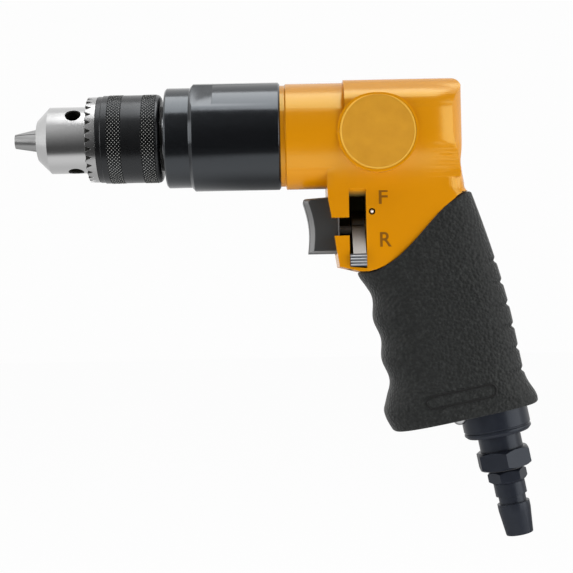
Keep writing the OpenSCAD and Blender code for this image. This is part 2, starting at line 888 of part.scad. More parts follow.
module planet_gear(turn) {
  color([0.62, 0.6, 0.55])
    translate([0, planet_orbit_r * cos(turn), planet_orbit_r * sin(turn)])
      run_x(planet_x, planet_end_x)
        difference() {
          gear_shape(planet_teeth, backlash);
          circle(r = planet_pin_r + run_gap);
        }
}

module ring_gear() {
  color([0.5, 0.5, 0.52])
    run_x(stack_x, stack_x + ring_gear_l)
      difference() {
        circle(r = stack_r);
        ring_room_shape();
      }
}

// One race of a ball bearing, with the ball track turned into the given side.
module race(x0, width, r_out, r_in, track_r, ball_r) {
  difference() {
    tube_x(x0, x0 + width, r_out, r_in);
    translate([x0 + width / 2, 0, 0])
      rotate([0, 90, 0])
        rotate_extrude()
          translate([track_r, 0])
            circle(r = ball_r + run_gap);
  }
}

spindle_track_r = (bearing_r + journal_r) / 2;
spindle_ball_r = (bearing_r - journal_r) * ball_share;

module spindle_bearing_outer() {
  color([0.66, 0.67, 0.69])
    race(
      bearing_x, bearing_w, bearing_r, bearing_r - bearing_race_w,
      spindle_track_r, spindle_ball_r
    );
}

module spindle_bearing_inner() {
  color([0.66, 0.67, 0.69])
    race(
      bearing_x, bearing_w, journal_r + bearing_race_w, journal_r + fit_gap,
      spindle_track_r, spindle_ball_r
    );
}

module spindle_bearing_balls() {
  color([0.85, 0.86, 0.88])
    for (i = [0 : ball_count - 1])
      rotate([360 * i / ball_count, 0, 0])
        translate([bearing_x + bearing_w / 2, spindle_track_r, 0])
          sphere(r = spindle_ball_r);
}

// Felt ring that keeps dust out of the gear head.
module spindle_seal() {
  color([0.28, 0.26, 0.24])
    tube_x(head_x + seal_lip_w, bearing_x - fit_gap, seal_r, spindle_collar_r + run_gap);
}

module gear_spacer() {
  color([0.6, 0.61, 0.63])
    tube_x(stack_x + ring_gear_l, front_plate_x, stack_r, spacer_bore_r);
}

// The rotor, its shafts and the sun pinion are one piece.
module rotor() {
  body_x = cylinder_x + rotor_side_gap;
  body_end_x = cylinder_end_x - rotor_side_gap;
  root_r = gear_module * (sun_teeth / 2 - tooth_root_share);
  color([0.55, 0.56, 0.58])
    difference() {
      union() {
        bar_x(body_x, body_end_x, rotor_r);
        bar_x(front_plate_x - spacer_l / 2, body_x, front_shaft_r);
        bar_x(body_end_x, motor_end_x, rear_shaft_r);
        bar_x(planet_x, front_plate_x, root_r);
        run_x(planet_x, front_plate_x - spacer_l / 2)
          gear_shape(sun_teeth, backlash);
      }
      for (i = [0 : vane_count - 1])
        rotate([360 * i / vane_count, 0, 0])
          block(
            [body_x - overrun, rotor_r - vane_slot_d, -vane_w / 2 - run_gap],
            [body_end_x + overrun, rotor_r + overrun, vane_w / 2 + run_gap]
          );
    }
}

module rotor_vanes() {
  body_x = cylinder_x + rotor_side_gap;
  body_end_x = cylinder_end_x - rotor_side_gap;
  color([0.42, 0.28, 0.16])
    for (i = [0 : vane_count - 1])
      rotate([360 * i / vane_count, 0, 0])
        block(
          [body_x, rotor_r - vane_slot_d + run_gap, -vane_w / 2],
          [body_end_x, rotor_r - vane_set_in, vane_w / 2]
        );
}

// The dowel that keeps the motor's plates and cylinder from turning.
module dowel_hole(x0, x1, radius) {
  translate([0, 0, -dowel_place_r])
    bar_x(x0, x1, radius);
}

// The bore stands off the rotor's axis, so the room for the air grows round the rotor.
module motor_cylinder() {
  middle_x = cylinder_x + cylinder_l / 2;
  color([0.58, 0.6, 0.6])
    difference() {
      bar_x(cylinder_x, cylinder_end_x, stack_r);
      translate([0, 0, cylinder_offset])
        bar_x(cylinder_x - overrun, cylinder_end_x + overrun, cylinder_bore_r);
      dowel_hole(cylinder_x - overrun, cylinder_end_x + overrun, dowel_r + fit_gap);
      for (side = [-1, 1])
        for (i = [0 : port_count - 1])
          translate([middle_x + (i - (port_count - 1) / 2) * port_pitch, 0, 0])
            rotate([side * 115 - 90, 0, 0])
              translate([0, cylinder_bore_r / 2, 0])
                rotate([-90, 0, 0])
                  cylinder(h = stack_r, r = port_r);
    }
}

// An end plate with a bearing seat that opens away from the rotor.
module end_plate(x0, seat_x, seat_end_x) {
  color([0.64, 0.65, 0.66])
    difference() {
      bar_x(x0, x0 + plate_w, stack_r);
      bar_x(x0 - overrun, x0 + plate_w + overrun, plate_shaft_bore_r);
      bar_x(seat_x, seat_end_x, rotor_bearing_r + fit_gap);
      dowel_hole(x0 - overrun, x0 + plate_w + overrun, dowel_r + fit_gap);
    }
}

module front_end_plate() {
  end_plate(front_plate_x, front_plate_x - overrun, front_bearing_x + rotor_bearing_w);
}

module rear_end_plate() {
  end_plate(cylinder_end_x, rear_bearing_x, motor_end_x + overrun);
}

front_bearing_x = front_plate_x + plate_bearing_inset;
rear_bearing_x = motor_end_x - plate_bearing_inset - rotor_bearing_w;

// Rotor bearings: the outer race sits in its plate and the inner race on the shaft.
module rotor_bearing_outer(x0, shaft_r) {
  color([0.66, 0.67, 0.69])
    tube_x(
      x0, x0 + rotor_bearing_w, rotor_bearing_r,
      shaft_r + rotor_race_w + free_gap
    );
}

module rotor_bearing_inner(x0, shaft_r) {
  color([0.72, 0.73, 0.75])
    tube_x(x0, x0 + rotor_bearing_w, shaft_r + rotor_race_w, shaft_r + fit_gap);
}

module front_bearing_outer() {
  rotor_bearing_outer(front_bearing_x, front_shaft_r);
}

module front_bearing_inner() {
  rotor_bearing_inner(front_bearing_x, front_shaft_r);
}

module rear_bearing_outer() {
  rotor_bearing_outer(rear_bearing_x, rear_shaft_r);
}

module rear_bearing_inner() {
  rotor_bearing_inner(rear_bearing_x, rear_shaft_r);
}

module cylinder_dowel() {
  color([0.7, 0.7, 0.72])
    dowel_hole(front_plate_x + fit_gap, motor_end_x - fit_gap, dowel_r);
}

// The casing's section behind the step: the barrel with a squarer top.
module block_section() {
  flat_half = block_flat_half;
  circle(r = barrel_r);
  translate([-flat_half, 0])
    square([2 * flat_half, block_top]);
  translate([-block_half_w, 0])
    square([2 * block_half_w, block_top - block_corner_r]);
  for (side = [-1, 1])
    translate([side * flat_half, block_top - block_corner_r])
      circle(r = block_corner_r);
}

// A plan with its two rear corners rounded.
module rounded_rear_plan(x0, x1, half_w, round_r) {
  translate([x0, -half_w])
    square([x1 - x0 - round_r, 2 * half_w]);
  translate([x0, round_r - half_w])
    square([x1 - x0, 2 * (half_w - round_r)]);
  for (side = [-1, 1])
    translate([x1 - round_r, side * (half_w - round_r)])
      circle(r = round_r);
}

// The concave fillet where the barrel runs into the neck.
module fillet_section() {
  reach = neck_half_w + neck_fillet_r;
  span = barrel_r + neck_fillet_r;
  low_z = -sqrt(span * span - reach * reach);
  top_share = barrel_r / span;
  difference() {
    translate([-reach * top_share, low_z])
      square([2 * reach * top_share, low_z * top_share - low_z]);
    for (side = [-1, 1])
      translate([side * reach, low_z])
        circle(r = neck_fillet_r);
  }
}

// Height share of the grip's edge at a share of its run.
function edge_share(run_share) =
  let (s = pow(run_share, grip_edge_power))
  s * s * (3 - 2 * s);

function grip_edge_points(steps) = [
  for (i = [0 : steps])
    [
      grip_lip_x + (grip_crown_x - grip_lip_x) * i / steps,
      grip_lip_z + (grip_crown_z - grip_lip_z) * edge_share(i / steps)
    ]
];

// The neck seen from the side: its raked front edge, floor and the edge that the grip meets.
neck_front_shares = [[0, 0], [0.04, 0.13], [0.34, 0.36], [1, 1]];

module neck_outline() {
  polygon(concat(
    [[casing_end_x - rear_round_r, 0], [neck_x, 0]],
    [
      for (share = neck_front_shares)
        [neck_x + neck_rake * share[0], neck_top_z - neck_drop * share[1]]
    ],
    grip_edge_points(grip_edge_steps),
    [[casing_end_x, grip_crown_z / 3]]
  ));
}

// The grip's front and back as depths from the inlet axis, at a height over the base.
function bulge_w(h) = h < base_bulge_h ? base_bulge_low_w : base_bulge_w;
function bell(offset) = exp(-offset * offset);
function ramp(share) =
  let (s = max(0, min(1, share)))
  s * s * (3 - 2 * s);
function finger_wave(h) =
  h > groove_low_h && h < groove_high_h
    ? finger_depth / 2 * cos(360 * (h - groove_h) / finger_pitch)
    : 0;
function front_depth(h) =
  finger_wave(h) - grip_front_d
  - base_bulge * bell((h - base_bulge_h) / bulge_w(h))
  - lip_out * ramp((h - lip_h) / lip_w);
function rear_depth(h) =
  grip_rear_d
  + heel_out * bell((h - heel_h) / heel_w)
  - rear_lean_d * pow(max(0, (h - rear_lean_h) / rear_lean_l), rear_lean_power);
function half_width(h) =
  grip_half_w
  - top_narrowing * ramp((h - rear_lean_h) / rear_lean_l)
  + base_widening * bell((h - base_bulge_h) / base_bulge_w);

// The casing's core inside the rubber.
module handle_core(wall) {
  front = -grip_front_d + finger_depth / 2 + wall;
  half_w = core_half_w + grip_wall - wall;
  plan_rear = grip_rear_d - wall;
  steps = 8;
  low_h = core_base_h - grip_wall + wall;
  in_handle()
    intersection() {
      across(half_w)
        polygon(concat(
          [[front, core_top_h], [front, low_h]],
          [
            for (i = [0 : steps])
              let (h = low_h + (core_top_h - low_h) * i / steps)
              [min(plan_rear, rear_depth(h) - wall), h]
          ]
        ));
      translate([0, 0, low_h - overrun])
        linear_extrude(height = core_top_h - low_h + 2 * overrun)
          core_plan(front, plan_rear, half_w);
    }
}

module core_plan(front, rear, half_w) {
  corner = core_corner_r;
  translate([front, corner - half_w])
    square([rear - front, 2 * (half_w - corner)]);
  translate([front + corner, -half_w])
    square([rear - front - 2 * corner, 2 * half_w]);
  for (side = [-1, 1])
    for (depth = [front + corner, rear - corner])
      translate([depth, side * (half_w - corner)])
        circle(r = corner);
}

// The outside of the casing, before its bores and cuts.
module casing_form() {
  intersection() {
    union() {
      turned([
        [0, casing_x],
        [casing_front_r, casing_x],
        [casing_front_r, casing_x + casing_front_w],
        [barrel_r, casing_x + casing_front_w + casing_front_chamfer],
        [barrel_r, casing_end_x],
        [0, casing_end_x]
      ]);
      run_x(step_x, casing_end_x)
        block_section();
      run_x(neck_x, casing_end_x)
        fillet_section();
    }
    translate([0, 0, -2 * block_top])
      linear_extrude(height = 4 * block_top)
        rounded_rear_plan(casing_x, casing_end_x, block_half_w + overrun, rear_round_r);
    across(2 * block_half_w)
      union() {
        translate([casing_x, -2 * block_top])
          square([casing_l, 3 * block_top - top_round_r]);
        translate([casing_x, 0])
          square([casing_l - top_round_r, block_top]);
        translate([casing_end_x - top_round_r, block_top - top_round_r])
          circle(r = top_round_r);
      }
  }
  intersection() {
    across(neck_half_w)
      neck_outline();
    translate([0, 0, 2 * grip_lip_z])
      linear_extrude(height = -2 * grip_lip_z)
        rounded_rear_plan(neck_x, grip_crown_x, neck_half_w, neck_rear_round_r);
  }
  handle_core(grip_wall);
  translate([badge_x, 0, badge_z])
    rotate([90, 0, 0])
      cylinder(h = badge_boss_y, r = badge_r + badge_rim_w);
}

// The reverse lever's slot, the window before it and the pocket that the trigger slides in.
module trigger_cuts() {
  slot_top_z = axis_z + lever_swing_h - slot_top_fall;
  pocket_low_z = trigger_mid_z - trigger_h / 2 - free_gap;
  pocket_high_z = trigger_mid_z + trigger_h / 2 + free_gap;
  block(
    [casing_x, -pocket_half_w, pocket_low_z],
    [slot_end_x, pocket_half_w, pocket_high_z]
  );
  block(
    [neck_x - overrun, -neck_half_w - overrun, axis_z + window_up - window_half_h],
    [slot_end_x, slot_past, axis_z + window_up + window_half_h]
  );
  block(
    [slot_x, -neck_half_w - overrun, axis_z - lever_swing_h],
    [slot_end_x, slot_past, slot_top_z]
  );
  translate([0, 0, axis_z])
    bar_x(slot_x, slot_end_x, lever_hub_r + free_gap);
  run_x(slot_x, slot_end_x)
    polygon([
      [-neck_half_w - overrun, slot_top_z],
      [-neck_half_w + slot_ramp_d, slot_top_z],
      [-neck_half_w, slot_top_z + slot_ramp_h],
      [-neck_half_w - overrun, slot_top_z + slot_ramp_h]
    ]);
}

// The air ways inside the casing.
module air_ways() {
  low_point = [
    base_x + exhaust_depth * cos(handle_lean),
    base_z + exhaust_depth * sin(handle_lean)
  ];
  high_point = [bushing_end_x - exhaust_r - overrun, axis_z - bushing_r / 2];
  run = high_point - low_point;
  in_handle()
    translate([0, 0, -overrun])
      cylinder(h = (axis_z - base_z) / cos(handle_lean), r = inlet_bore_r);
  translate([low_point[0], 0, low_point[1]])
    rotate([0, atan2(run[0], run[1]), 0])
      cylinder(h = norm(run), r = exhaust_r);
  for (port_x = [port_a_x, port_b_x])
    translate([port_x, 0, axis_z])
      cylinder(h = trigger_drop - stack_r / 2, r = casing_port_r);
}

module motor_housing() {
  color([0.93, 0.68, 0.13])
    difference() {
      casing_form();
      bar_x(casing_x - overrun, spigot_end_x, thread_r + fit_gap);
      bar_x(casing_x, motor_end_x, stack_bore_r);
      bar_x(motor_end_x - overrun, motor_end_x + rear_shaft_room_l, rear_shaft_room_r);
      trigger_cuts();
      translate([0, 0, axis_z]) {
        bar_x(slot_x, bushing_end_x, bushing_r + fit_gap);
        bar_x(bushing_end_x - overrun, chamber_end_x, chamber_r);
      }
      air_ways();
      translate([valve_pin_x, 0, axis_z + valve_pin_out])
        rotate([90, 0, 0])
          cylinder(
            h = 2 * (neck_half_w + overrun), r = valve_pin_r + fit_gap, center = true
          );
      for (side = [-1, 1])
        translate([valve_pin_x, side * neck_half_w, axis_z + valve_pin_out])
          rotate([90, 0, 0])
            cylinder(h = 2 * valve_pin_mouth_d, r = valve_pin_mouth_r, center = true);
      translate([lever_x + lever_arm_w / 2, 0, axis_z])
        rotate([-90, 0, 0])
          cylinder(
            h = detent_y + detent_r + detent_spring_l,
            r = detent_r + fit_gap
          );
      translate([badge_x, -badge_boss_y + badge_set_in + badge_t, badge_z])
        rotate([90, 0, 0])
          cylinder(h = badge_t + overrun, r = badge_r + fit_gap);
      in_handle()
        translate([0, 0, -overrun])
          cylinder(
            h = core_base_h + inlet_thread_l + overrun, r = inlet_thread_r + fit_gap
          );
      in_handle()
        translate([base_screw_depth, base_screw_side, 0])
          cylinder(h = core_base_h + base_screw_l, r = base_screw_shank_r + fit_gap);
    }
}

// Notch depth at a height, from the nearest of the notches down the back.
function notch_at(h) =
  let (place = (h - notch_first_h) / notch_pitch)
  let (nearest = max(0, min(notch_count - 1, round(place))))
  notch_depth * max(0, 1 - abs(h - notch_first_h - nearest * notch_pitch) / (notch_w / 2));

// Heights of the rings that the grip is lofted through.
grip_ring_heights = concat(
  [for (share = edge_ring_shares) grip_edge_r * share],
  [for (h = grip_low_heights) if (h < notch_low_h) h],
  [
    for (i = [0 : notch_count - 1])
      for (share = notch_ring_shares)
        notch_first_h + i * notch_pitch + share * notch_w / 2
  ],
  [for (share = grip_high_shares) if (handle_h * share > notch_high_h) handle_h * share]
);

// How far the grip's lower edge is drawn in by its rounding.
function edge_draw(h) =
  h < grip_edge_r
    ? grip_edge_r - sqrt(max(0, grip_edge_r * grip_edge_r - pow(grip_edge_r - h, 2)))
    : 0;

function signed_power(value, power) = sign(value) * pow(abs(value), power);

function grip_ring(h) =
  let (front = front_depth(h) + edge_draw(h))
  let (rear = rear_depth(h) - edge_draw(h))
  let (side = half_width(h) - edge_draw(h))
  [
    for (i = [0 : grip_sides - 1])
      let (a = 360 * i / grip_sides)
      let (across_share = signed_power(sin(a), 2 / grip_power))
      let (depth_share = signed_power(cos(a), 2 / grip_power))
      let (notch = notch_at(h) * ramp((cos(a) - notch_fade_shares[0]) / notch_fade_shares[1]))
      [
        (front + rear) / 2 + (rear - front) / 2 * depth_share - notch,
        side * across_share,
        h
      ]
  ];

module grip_loft() {
  rings = len(grip_ring_heights);
  points = [for (h = grip_ring_heights) each grip_ring(h)];
  sides = [
    for (j = [0 : rings - 2])
      for (i = [0 : grip_sides - 1])
        let (next = (i + 1) % grip_sides)
        let (low = j * grip_sides)
        let (high = low + grip_sides)
        each [
          [low + i, high + i, high + next],
          [low + i, high + next, low + next]
        ]
  ];
  floor_face = [for (i = [0 : grip_sides - 1]) i];
  top_face = [for (i = [grip_sides - 1 : -1 : 0]) (rings - 1) * grip_sides + i];
  polyhedron(points, concat(sides, [floor_face, top_face]), convexity = 6);
}

// The moulded rubber sleeve. Its upper edge follows the casing's side.
module grip_sleeve() {
  cover_half_w = 2 * grip_half_w;
  color([0.14, 0.14, 0.15])
    difference() {
      in_handle()
        grip_loft();
      across(cover_half_w)
        polygon(concat(
          [[neck_x - grip_front_d, grip_lip_z + fit_gap]],
          [for (p = grip_edge_points(grip_edge_steps)) p - [0, fit_gap]],
          [[base_x + grip_front_d, grip_crown_z], [base_x, block_top], [neck_x, block_top]]
        ));
      handle_core(grip_wall - fit_gap);
      grip_recess();
      in_handle()
        translate([0, 0, -overrun])
          cylinder(h = core_base_h + 2 * overrun, r = collar_r + fit_gap);
      in_handle()
        translate([base_screw_depth, base_screw_side, -overrun])
          cylinder(h = core_base_h + 2 * overrun, r = base_screw_shank_r + fit_gap);
    }
}

// The long shallow recess low on the grip's left side.
module grip_recess() {
  half_l = recess_l / 2 - recess_h / 2;
  in_handle()
    translate([recess_depth, -half_width(recess_up) + recess_d, recess_up])
      rotate([90, 0, 0])
        linear_extrude(height = recess_d + overrun) {
          translate([-half_l, -recess_h / 2])
            square([2 * half_l, recess_h]);
          for (side = [-1, 1])
            translate([side * half_l, 0])
              circle(r = recess_h / 2);
        }
}

module side_badge() {
  color([0.88, 0.74, 0.3])
    translate([badge_x, -badge_boss_y + badge_set_in + badge_t, badge_z])
      rotate([90, 0, 0])
        cylinder(h = badge_t, r = badge_r);
}

module base_screw() {
  color([0.7, 0.7, 0.7])
    in_handle()
      translate([base_screw_depth, base_screw_side, 0]) {
        intersection() {
          translate([0, 0, base_screw_r * screw_dome_share])
            sphere(r = base_screw_r);
          translate([0, 0, -base_screw_r])
            cylinder(h = base_screw_r, r = base_screw_r);
        }
        cylinder(h = core_base_h + base_screw_l - fit_gap, r = base_screw_shank_r);
      }
}

// The trigger's side view: a finger dish in front, and a straight rear edge.
module trigger_outline() {
  low = trigger_mid_z - trigger_h / 2;
  high = trigger_mid_z + trigger_h / 2;
  front_z = high - trigger_top_fall;
  steps = 10;
  polygon(concat(
    [[trigger_rear_x, low], [trigger_rear_x, high]],
    [
      for (a = [0 : 30 : 60])
        [
          trigger_x + trigger_corner_r * (1 - sin(a)),
          front_z - trigger_corner_r * (1 - cos(a))
        ]
    ],
    [
      for (i = [0 : steps])
        [
          trigger_x + trigger_rake * i / steps + trigger_dish * sin(180 * i / steps),
          front_z - trigger_corner_r - (front_z - trigger_corner_r - low) * i / steps
        ]
    ]
  ));
}

module trigger() {
  flat_half = trigger_half_w - trigger_nose_r;
  color([0.27, 0.27, 0.29])
    difference() {
      intersection() {
        across(trigger_half_w)
          trigger_outline();
        translate([0, 0, trigger_mid_z - trigger_h])
          linear_extrude(height = 2 * trigger_h) {
            translate([trigger_x + trigger_nose_r, -trigger_half_w])
              square([trigger_l, 2 * trigger_half_w]);
            translate([trigger_x, -flat_half])
              square([trigger_l, 2 * flat_half]);
            for (side = [-1, 1])
              translate([trigger_x + trigger_nose_r, side * flat_half])
                circle(r = trigger_nose_r);
          }
      }
      translate([0, 0, axis_z])
        bar_x(trigger_rear_x - trigger_l / 2, trigger_rear_x + overrun, rod_r + fit_gap);
    }
}

module trigger_rod() {
  color([0.7, 0.7, 0.72])
    translate([0, 0, axis_z])
      bar_x(trigger_rear_x - trigger_l / 2 + fit_gap, throttle_x, rod_r);
}

// The poppet that the rod lifts off its seat.
module throttle_valve() {
  tail_r = spring_r - spring_wire_r - free_gap;
  color([0.75, 0.6, 0.3])
    translate([0, 0, axis_z])
      turned([
        [0, throttle_x],
        [throttle_r, throttle_x],
        [throttle_r, spring_x],
        [tail_r, spring_x],
        [tail_r, spring_x + throttle_l],
        [0, spring_x + throttle_l]
      ]);
}

module valve_seat_ring() {
  color([0.2, 0.2, 0.2])
    translate([0, 0, axis_z])
      tube_x(bushing_end_x, throttle_x, chamber_r - fit_gap, reverse_bore_r);
}

// A compression spring as one unbroken tube along X.
spring_steps = 8;
spring_sides = 6;
spring_len = chamber_end_x - spring_x - 2 * spring_wire_r;
function spring_centre(t) =
  let (a = 360 * spring_coils * t)
  [spring_wire_r + spring_len * t, spring_r * cos(a), spring_r * sin(a)];

module valve_spring() {
  count = spring_coils * spring_steps;
  rings = [
    for (i = [0 : count])
      let (c = spring_centre(i / count))
      let (a = 360 * spring_coils * i / count)
      [
        for (k = [0 : spring_sides - 1])
          let (b = 360 * k / spring_sides)
          [
            c[0] + spring_wire_r * sin(b),
            c[1] + spring_wire_r * cos(b) * cos(a),
            c[2] + spring_wire_r * cos(b) * sin(a)
          ]
      ]
  ];
  points = [for (ring = rings) each ring];
  faces = concat(
    [[for (k = [0 : spring_sides - 1]) k]],
    [
      for (i = [0 : count - 1])
        for (k = [0 : spring_sides - 1])
          let (next = (k + 1) % spring_sides)
          let (low = i * spring_sides)
          let (high = low + spring_sides)
          each [
            [low + k, high + k, high + next],
            [low + k, high + next, low + next]
          ]
    ],
    [[for (k = [spring_sides - 1 : -1 : 0]) count * spring_sides + k]]
  );
  color([0.6, 0.6, 0.62])
    translate([spring_x, 0, axis_z])
      polyhedron(points, faces, convexity = 8);
}

module valve_bushing() {
  color([0.72, 0.6, 0.34])
    difference() {
      translate([0, 0, axis_z])
        tube_x(bushing_x, bushing_end_x, bushing_r, valve_bore_r);
      for (port_x = [port_a_x, port_b_x])
        translate([port_x, 0, axis_z])
          cylinder(h = bushing_r + overrun, r = casing_port_r);
      translate([bushing_end_x - exhaust_r - overrun, 0, axis_z - bushing_r - overrun])
        cylinder(h = bushing_r, r = casing_port_r);
      translate([valve_pin_x, 0, axis_z + valve_pin_out])
        rotate([90, 0, 0])
          cylinder(h = 4 * bushing_r, r = valve_pin_r + fit_gap, center = true);
    }
}

// The cross pin that holds the bushing in the casing.
module valve_pin() {
  color([0.8, 0.8, 0.82])
    translate([valve_pin_x, 0, axis_z + valve_pin_out])
      rotate([90, 0, 0])
        cylinder(h = 2 * (neck_half_w - valve_pin_set_in), r = valve_pin_r, center = true);
}

// The lever's section across the valve axis: a hub, a bent arm and a ridged thumb piece.
module lever_section() {
  foot_out = neck_half_w + lever_foot_out;
  foot_in = foot_out - lever_foot_t;
  foot_low = lever_foot_side - lever_swing_h;
  foot_high = foot_low + lever_foot_h;
  difference() {
    union() {
      circle(r = lever_hub_r);
      polygon([
        lever_hub_r * lever_root_shares[0],
        [-lever_hub_r - lever_plate_t / 2, lever_hub_r * lever_bend_share],
        [-foot_out + lever_plate_t / 2, foot_high],
        [-foot_in, foot_low + lever_plate_t],
        lever_hub_r * lever_root_shares[1]
      ]);
    }
    circle(r = rod_r + rod_gap);
  }
}

module lever_foot_section() {
  foot_out = neck_half_w + lever_foot_out;
  foot_in = foot_out - lever_foot_t;
  foot_low = lever_foot_side - lever_swing_h;
  pitch = lever_foot_h / lever_ridge_count;
  polygon(concat(
    [[-foot_in, foot_low + lever_foot_h], [-foot_in, foot_low]],
    [
      for (i = [0 : lever_ridge_count - 1])
        each [
          [-foot_out + lever_ridge_d, foot_low + (i + ridge_shares[0]) * pitch],
          [-foot_out, foot_low + (i + ridge_shares[1]) * pitch],
          [-foot_out + lever_ridge_d, foot_low + (i + ridge_shares[2]) * pitch]
        ]
    ]
  ));
}

module reverse_lever() {
  foot_x = slot_x + free_gap / 2;
  color([0.74, 0.75, 0.77])
    translate([0, 0, axis_z])
      difference() {
        union() {
          run_x(lever_x, lever_end_x)
            lever_section();
          run_x(foot_x, slot_end_x - free_gap / 2)
            lever_foot_section();
        }
        for (turn = [0, lever_turn])
          rotate([turn, 0, 0])
            translate([lever_x + lever_arm_w / 2, lever_hub_r + detent_r - detent_dip, 0])
              sphere(r = detent_r);
      }
}

// The rotary valve that the lever turns inside the bushing.
module reverse_valve() {
  valve_end_x = bushing_end_x - free_gap;
  color([0.7, 0.62, 0.42])
    translate([0, 0, axis_z])
      difference() {
        tube_x(lever_end_x, valve_end_x, reverse_valve_r, reverse_bore_r);
        for (port_x = [port_a_x, port_b_x])
          translate([port_x, 0, 0])
            cylinder(h = bushing_r, r = casing_port_r);
      }
}

// The ball and spring that hold the lever at either end of its swing.
module detent_ball() {
  color([0.8, 0.8, 0.82])
    translate([lever_x + lever_arm_w / 2, detent_y, axis_z])
      sphere(r = detent_r);
}

module detent_spring() {
  start_y = detent_y + detent_r + fit_gap;
  color([0.6, 0.6, 0.62])
    translate([lever_x + lever_arm_w / 2, start_y, axis_z])
      rotate([-90, 0, 0])
        difference() {
          cylinder(h = detent_spring_l - 2 * fit_gap, r = detent_r);
          translate([0, 0, -overrun])
            cylinder(h = detent_spring_l + 2 * overrun, r = detent_r / 2);
        }
}

module inlet_bushing() {
  top_h = core_base_h + inlet_thread_l - inlet_thread_end_gap;
  hex_mid_l = hex_start_l + inlet_hex_l / 2;
  hex_end_l = hex_start_l + inlet_hex_l;
  color([0.1, 0.11, 0.14])
    in_handle()
      difference() {
        union() {
          translate([0, 0, -hex_mid_l])
            cylinder(h = hex_mid_l + top_h, r = inlet_thread_r);
          translate([0, 0, -hex_mid_l])
            cylinder(h = hex_mid_l - neck_start_l - fit_gap, r = inlet_neck_r);
          hex_bar(hex_start_l, inlet_hex_l, inlet_hex_w, inlet_hex_turn);
        }
        translate([0, 0, -hex_end_l - overrun])
          cylinder(h = hex_end_l + top_h + 2 * overrun, r = inlet_bore_r);
        translate([0, 0, -hex_end_l - overrun])
          cylinder(h = plug_thread_l + overrun, r = plug_thread_r + fit_gap);
      }
}

// A wire-mesh cup that stops dirt at the inlet.
module inlet_strainer() {
  radius = inlet_bore_r - fit_gap;
  color([0.75, 0.72, 0.6])
    in_handle()
      difference() {
        cylinder(h = strainer_l, r = radius);
        translate([0, 0, -overrun])
          cylinder(h = strainer_l - strainer_wall + overrun, r = radius - strainer_wall);
      }
}

module inlet_seal() {
  color([0.12, 0.12, 0.12])
    in_handle()
      translate([0, 0, -plug_start_l - plug_gap_l])
        difference() {
          cylinder(h = plug_gap_l, r = plug_thread_r + 2 * seal_ring_r);
          translate([0, 0, -overrun])
            cylinder(h = plug_gap_l + 2 * overrun, r = plug_thread_r + fit_gap);
        }
}

module exhaust_muffler() {
  color([0.45, 0.4, 0.3])
    in_handle()
      translate([0, 0, collar_floor_w - collar_l + fit_gap])
        difference() {
          cylinder(h = muffler_l, r = collar_r - collar_wall - fit_gap);
          translate([0, 0, -overrun])
            cylinder(h = muffler_l + 2 * overrun, r = inlet_thread_r + fit_gap);
        }
}

// The collar that turns the exhaust air down and away.
module exhaust_collar() {
  inner_r = collar_r - collar_wall;
  hole_place_r = (inner_r + inlet_neck_r) / 2;
  groove_z = collar_chamfer + collar_groove_up - collar_l;
  color([0.11, 0.12, 0.15])
    in_handle()
      difference() {
        rotate_extrude()
          polygon([
            [inlet_thread_r + fit_gap, -collar_l],
            [collar_r - collar_chamfer, -collar_l],
            [collar_r, collar_chamfer - collar_l],
            [collar_r, groove_z],
            [collar_r - collar_groove_d, groove_z],
            [collar_r - collar_groove_d, groove_z + collar_groove_w],
            [collar_r, groove_z + collar_groove_w],
            [collar_r, core_base_h - fit_gap],
            [inner_r, core_base_h - fit_gap],
            [inner_r, collar_floor_w - collar_l],
            [inlet_thread_r + fit_gap, collar_floor_w - collar_l]
          ]);
        for (i = [0 : collar_hole_count - 1])
          rotate(360 * i / collar_hole_count)
            translate([hole_place_r, 0, -collar_l - overrun])
              cylinder(h = collar_floor_w + 2 * overrun, r = collar_hole_r);
      }
}

module quick_plug() {
  hex_top_l = plug_start_l + plug_gap_l;
  tip_l = plug_nose_start_l + plug_nose_l;
  color([0.12, 0.13, 0.16])
    in_handle()
      difference() {
        union() {
          hex_bar(hex_top_l, plug_hex_l, plug_hex_w, 0);
          rotate_extrude()
            polygon([
              [0, plug_thread_l - plug_start_l - fit_gap],
              [plug_thread_r, plug_thread_l - plug_start_l - fit_gap],
              [plug_thread_r, -plug_ring_start_l],
              [plug_ring_r, -plug_ring_start_l],
              [plug_ring_r, -plug_ring_start_l - plug_ring_l],
              [plug_groove_r, -plug_ring_start_l - plug_ring_l],
              [plug_groove_r, -plug_nose_start_l],
              [plug_nose_r, -plug_nose_start_l],
              [plug_nose_r, -plug_nose_start_l - plug_land_l],
              [plug_tip_r, -tip_l],
              [0, -tip_l]
            ]);
        }
        translate([0, 0, -tip_l - overrun])
          cylinder(h = tip_l + 2 * overrun, r = air_r);
      }
}

chuck_body();
chuck_jaw(0);  // chuck_jaw_1
chuck_jaw(1);  // chuck_jaw_2
chuck_jaw(2);  // chuck_jaw_3
chuck_nut();
chuck_gear_ring();
chuck_sleeve();
chuck_screw();
gear_housing();
spindle();
planet_pins();
planet_gear(planet_turns[0]);  // planet_gear_1
planet_gear(planet_turns[1]);  // planet_gear_2
planet_gear(planet_turns[2]);  // planet_gear_3
ring_gear();
spindle_bearing_outer();
spindle_bearing_inner();
spindle_bearing_balls();
spindle_seal();
gear_spacer();
rotor();
rotor_vanes();
motor_cylinder();
front_end_plate();
rear_end_plate();
front_bearing_outer();
front_bearing_inner();
rear_bearing_outer();
rear_bearing_inner();
cylinder_dowel();
motor_housing();
grip_sleeve();
side_badge();
base_screw();
trigger();
trigger_rod();
throttle_valve();
valve_seat_ring();
valve_spring();
valve_bushing();
valve_pin();
reverse_lever();
reverse_valve();
detent_ball();
detent_spring();
inlet_bushing();
inlet_strainer();
inlet_seal();
exhaust_muffler();
exhaust_collar();
quick_plug();
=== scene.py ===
import math

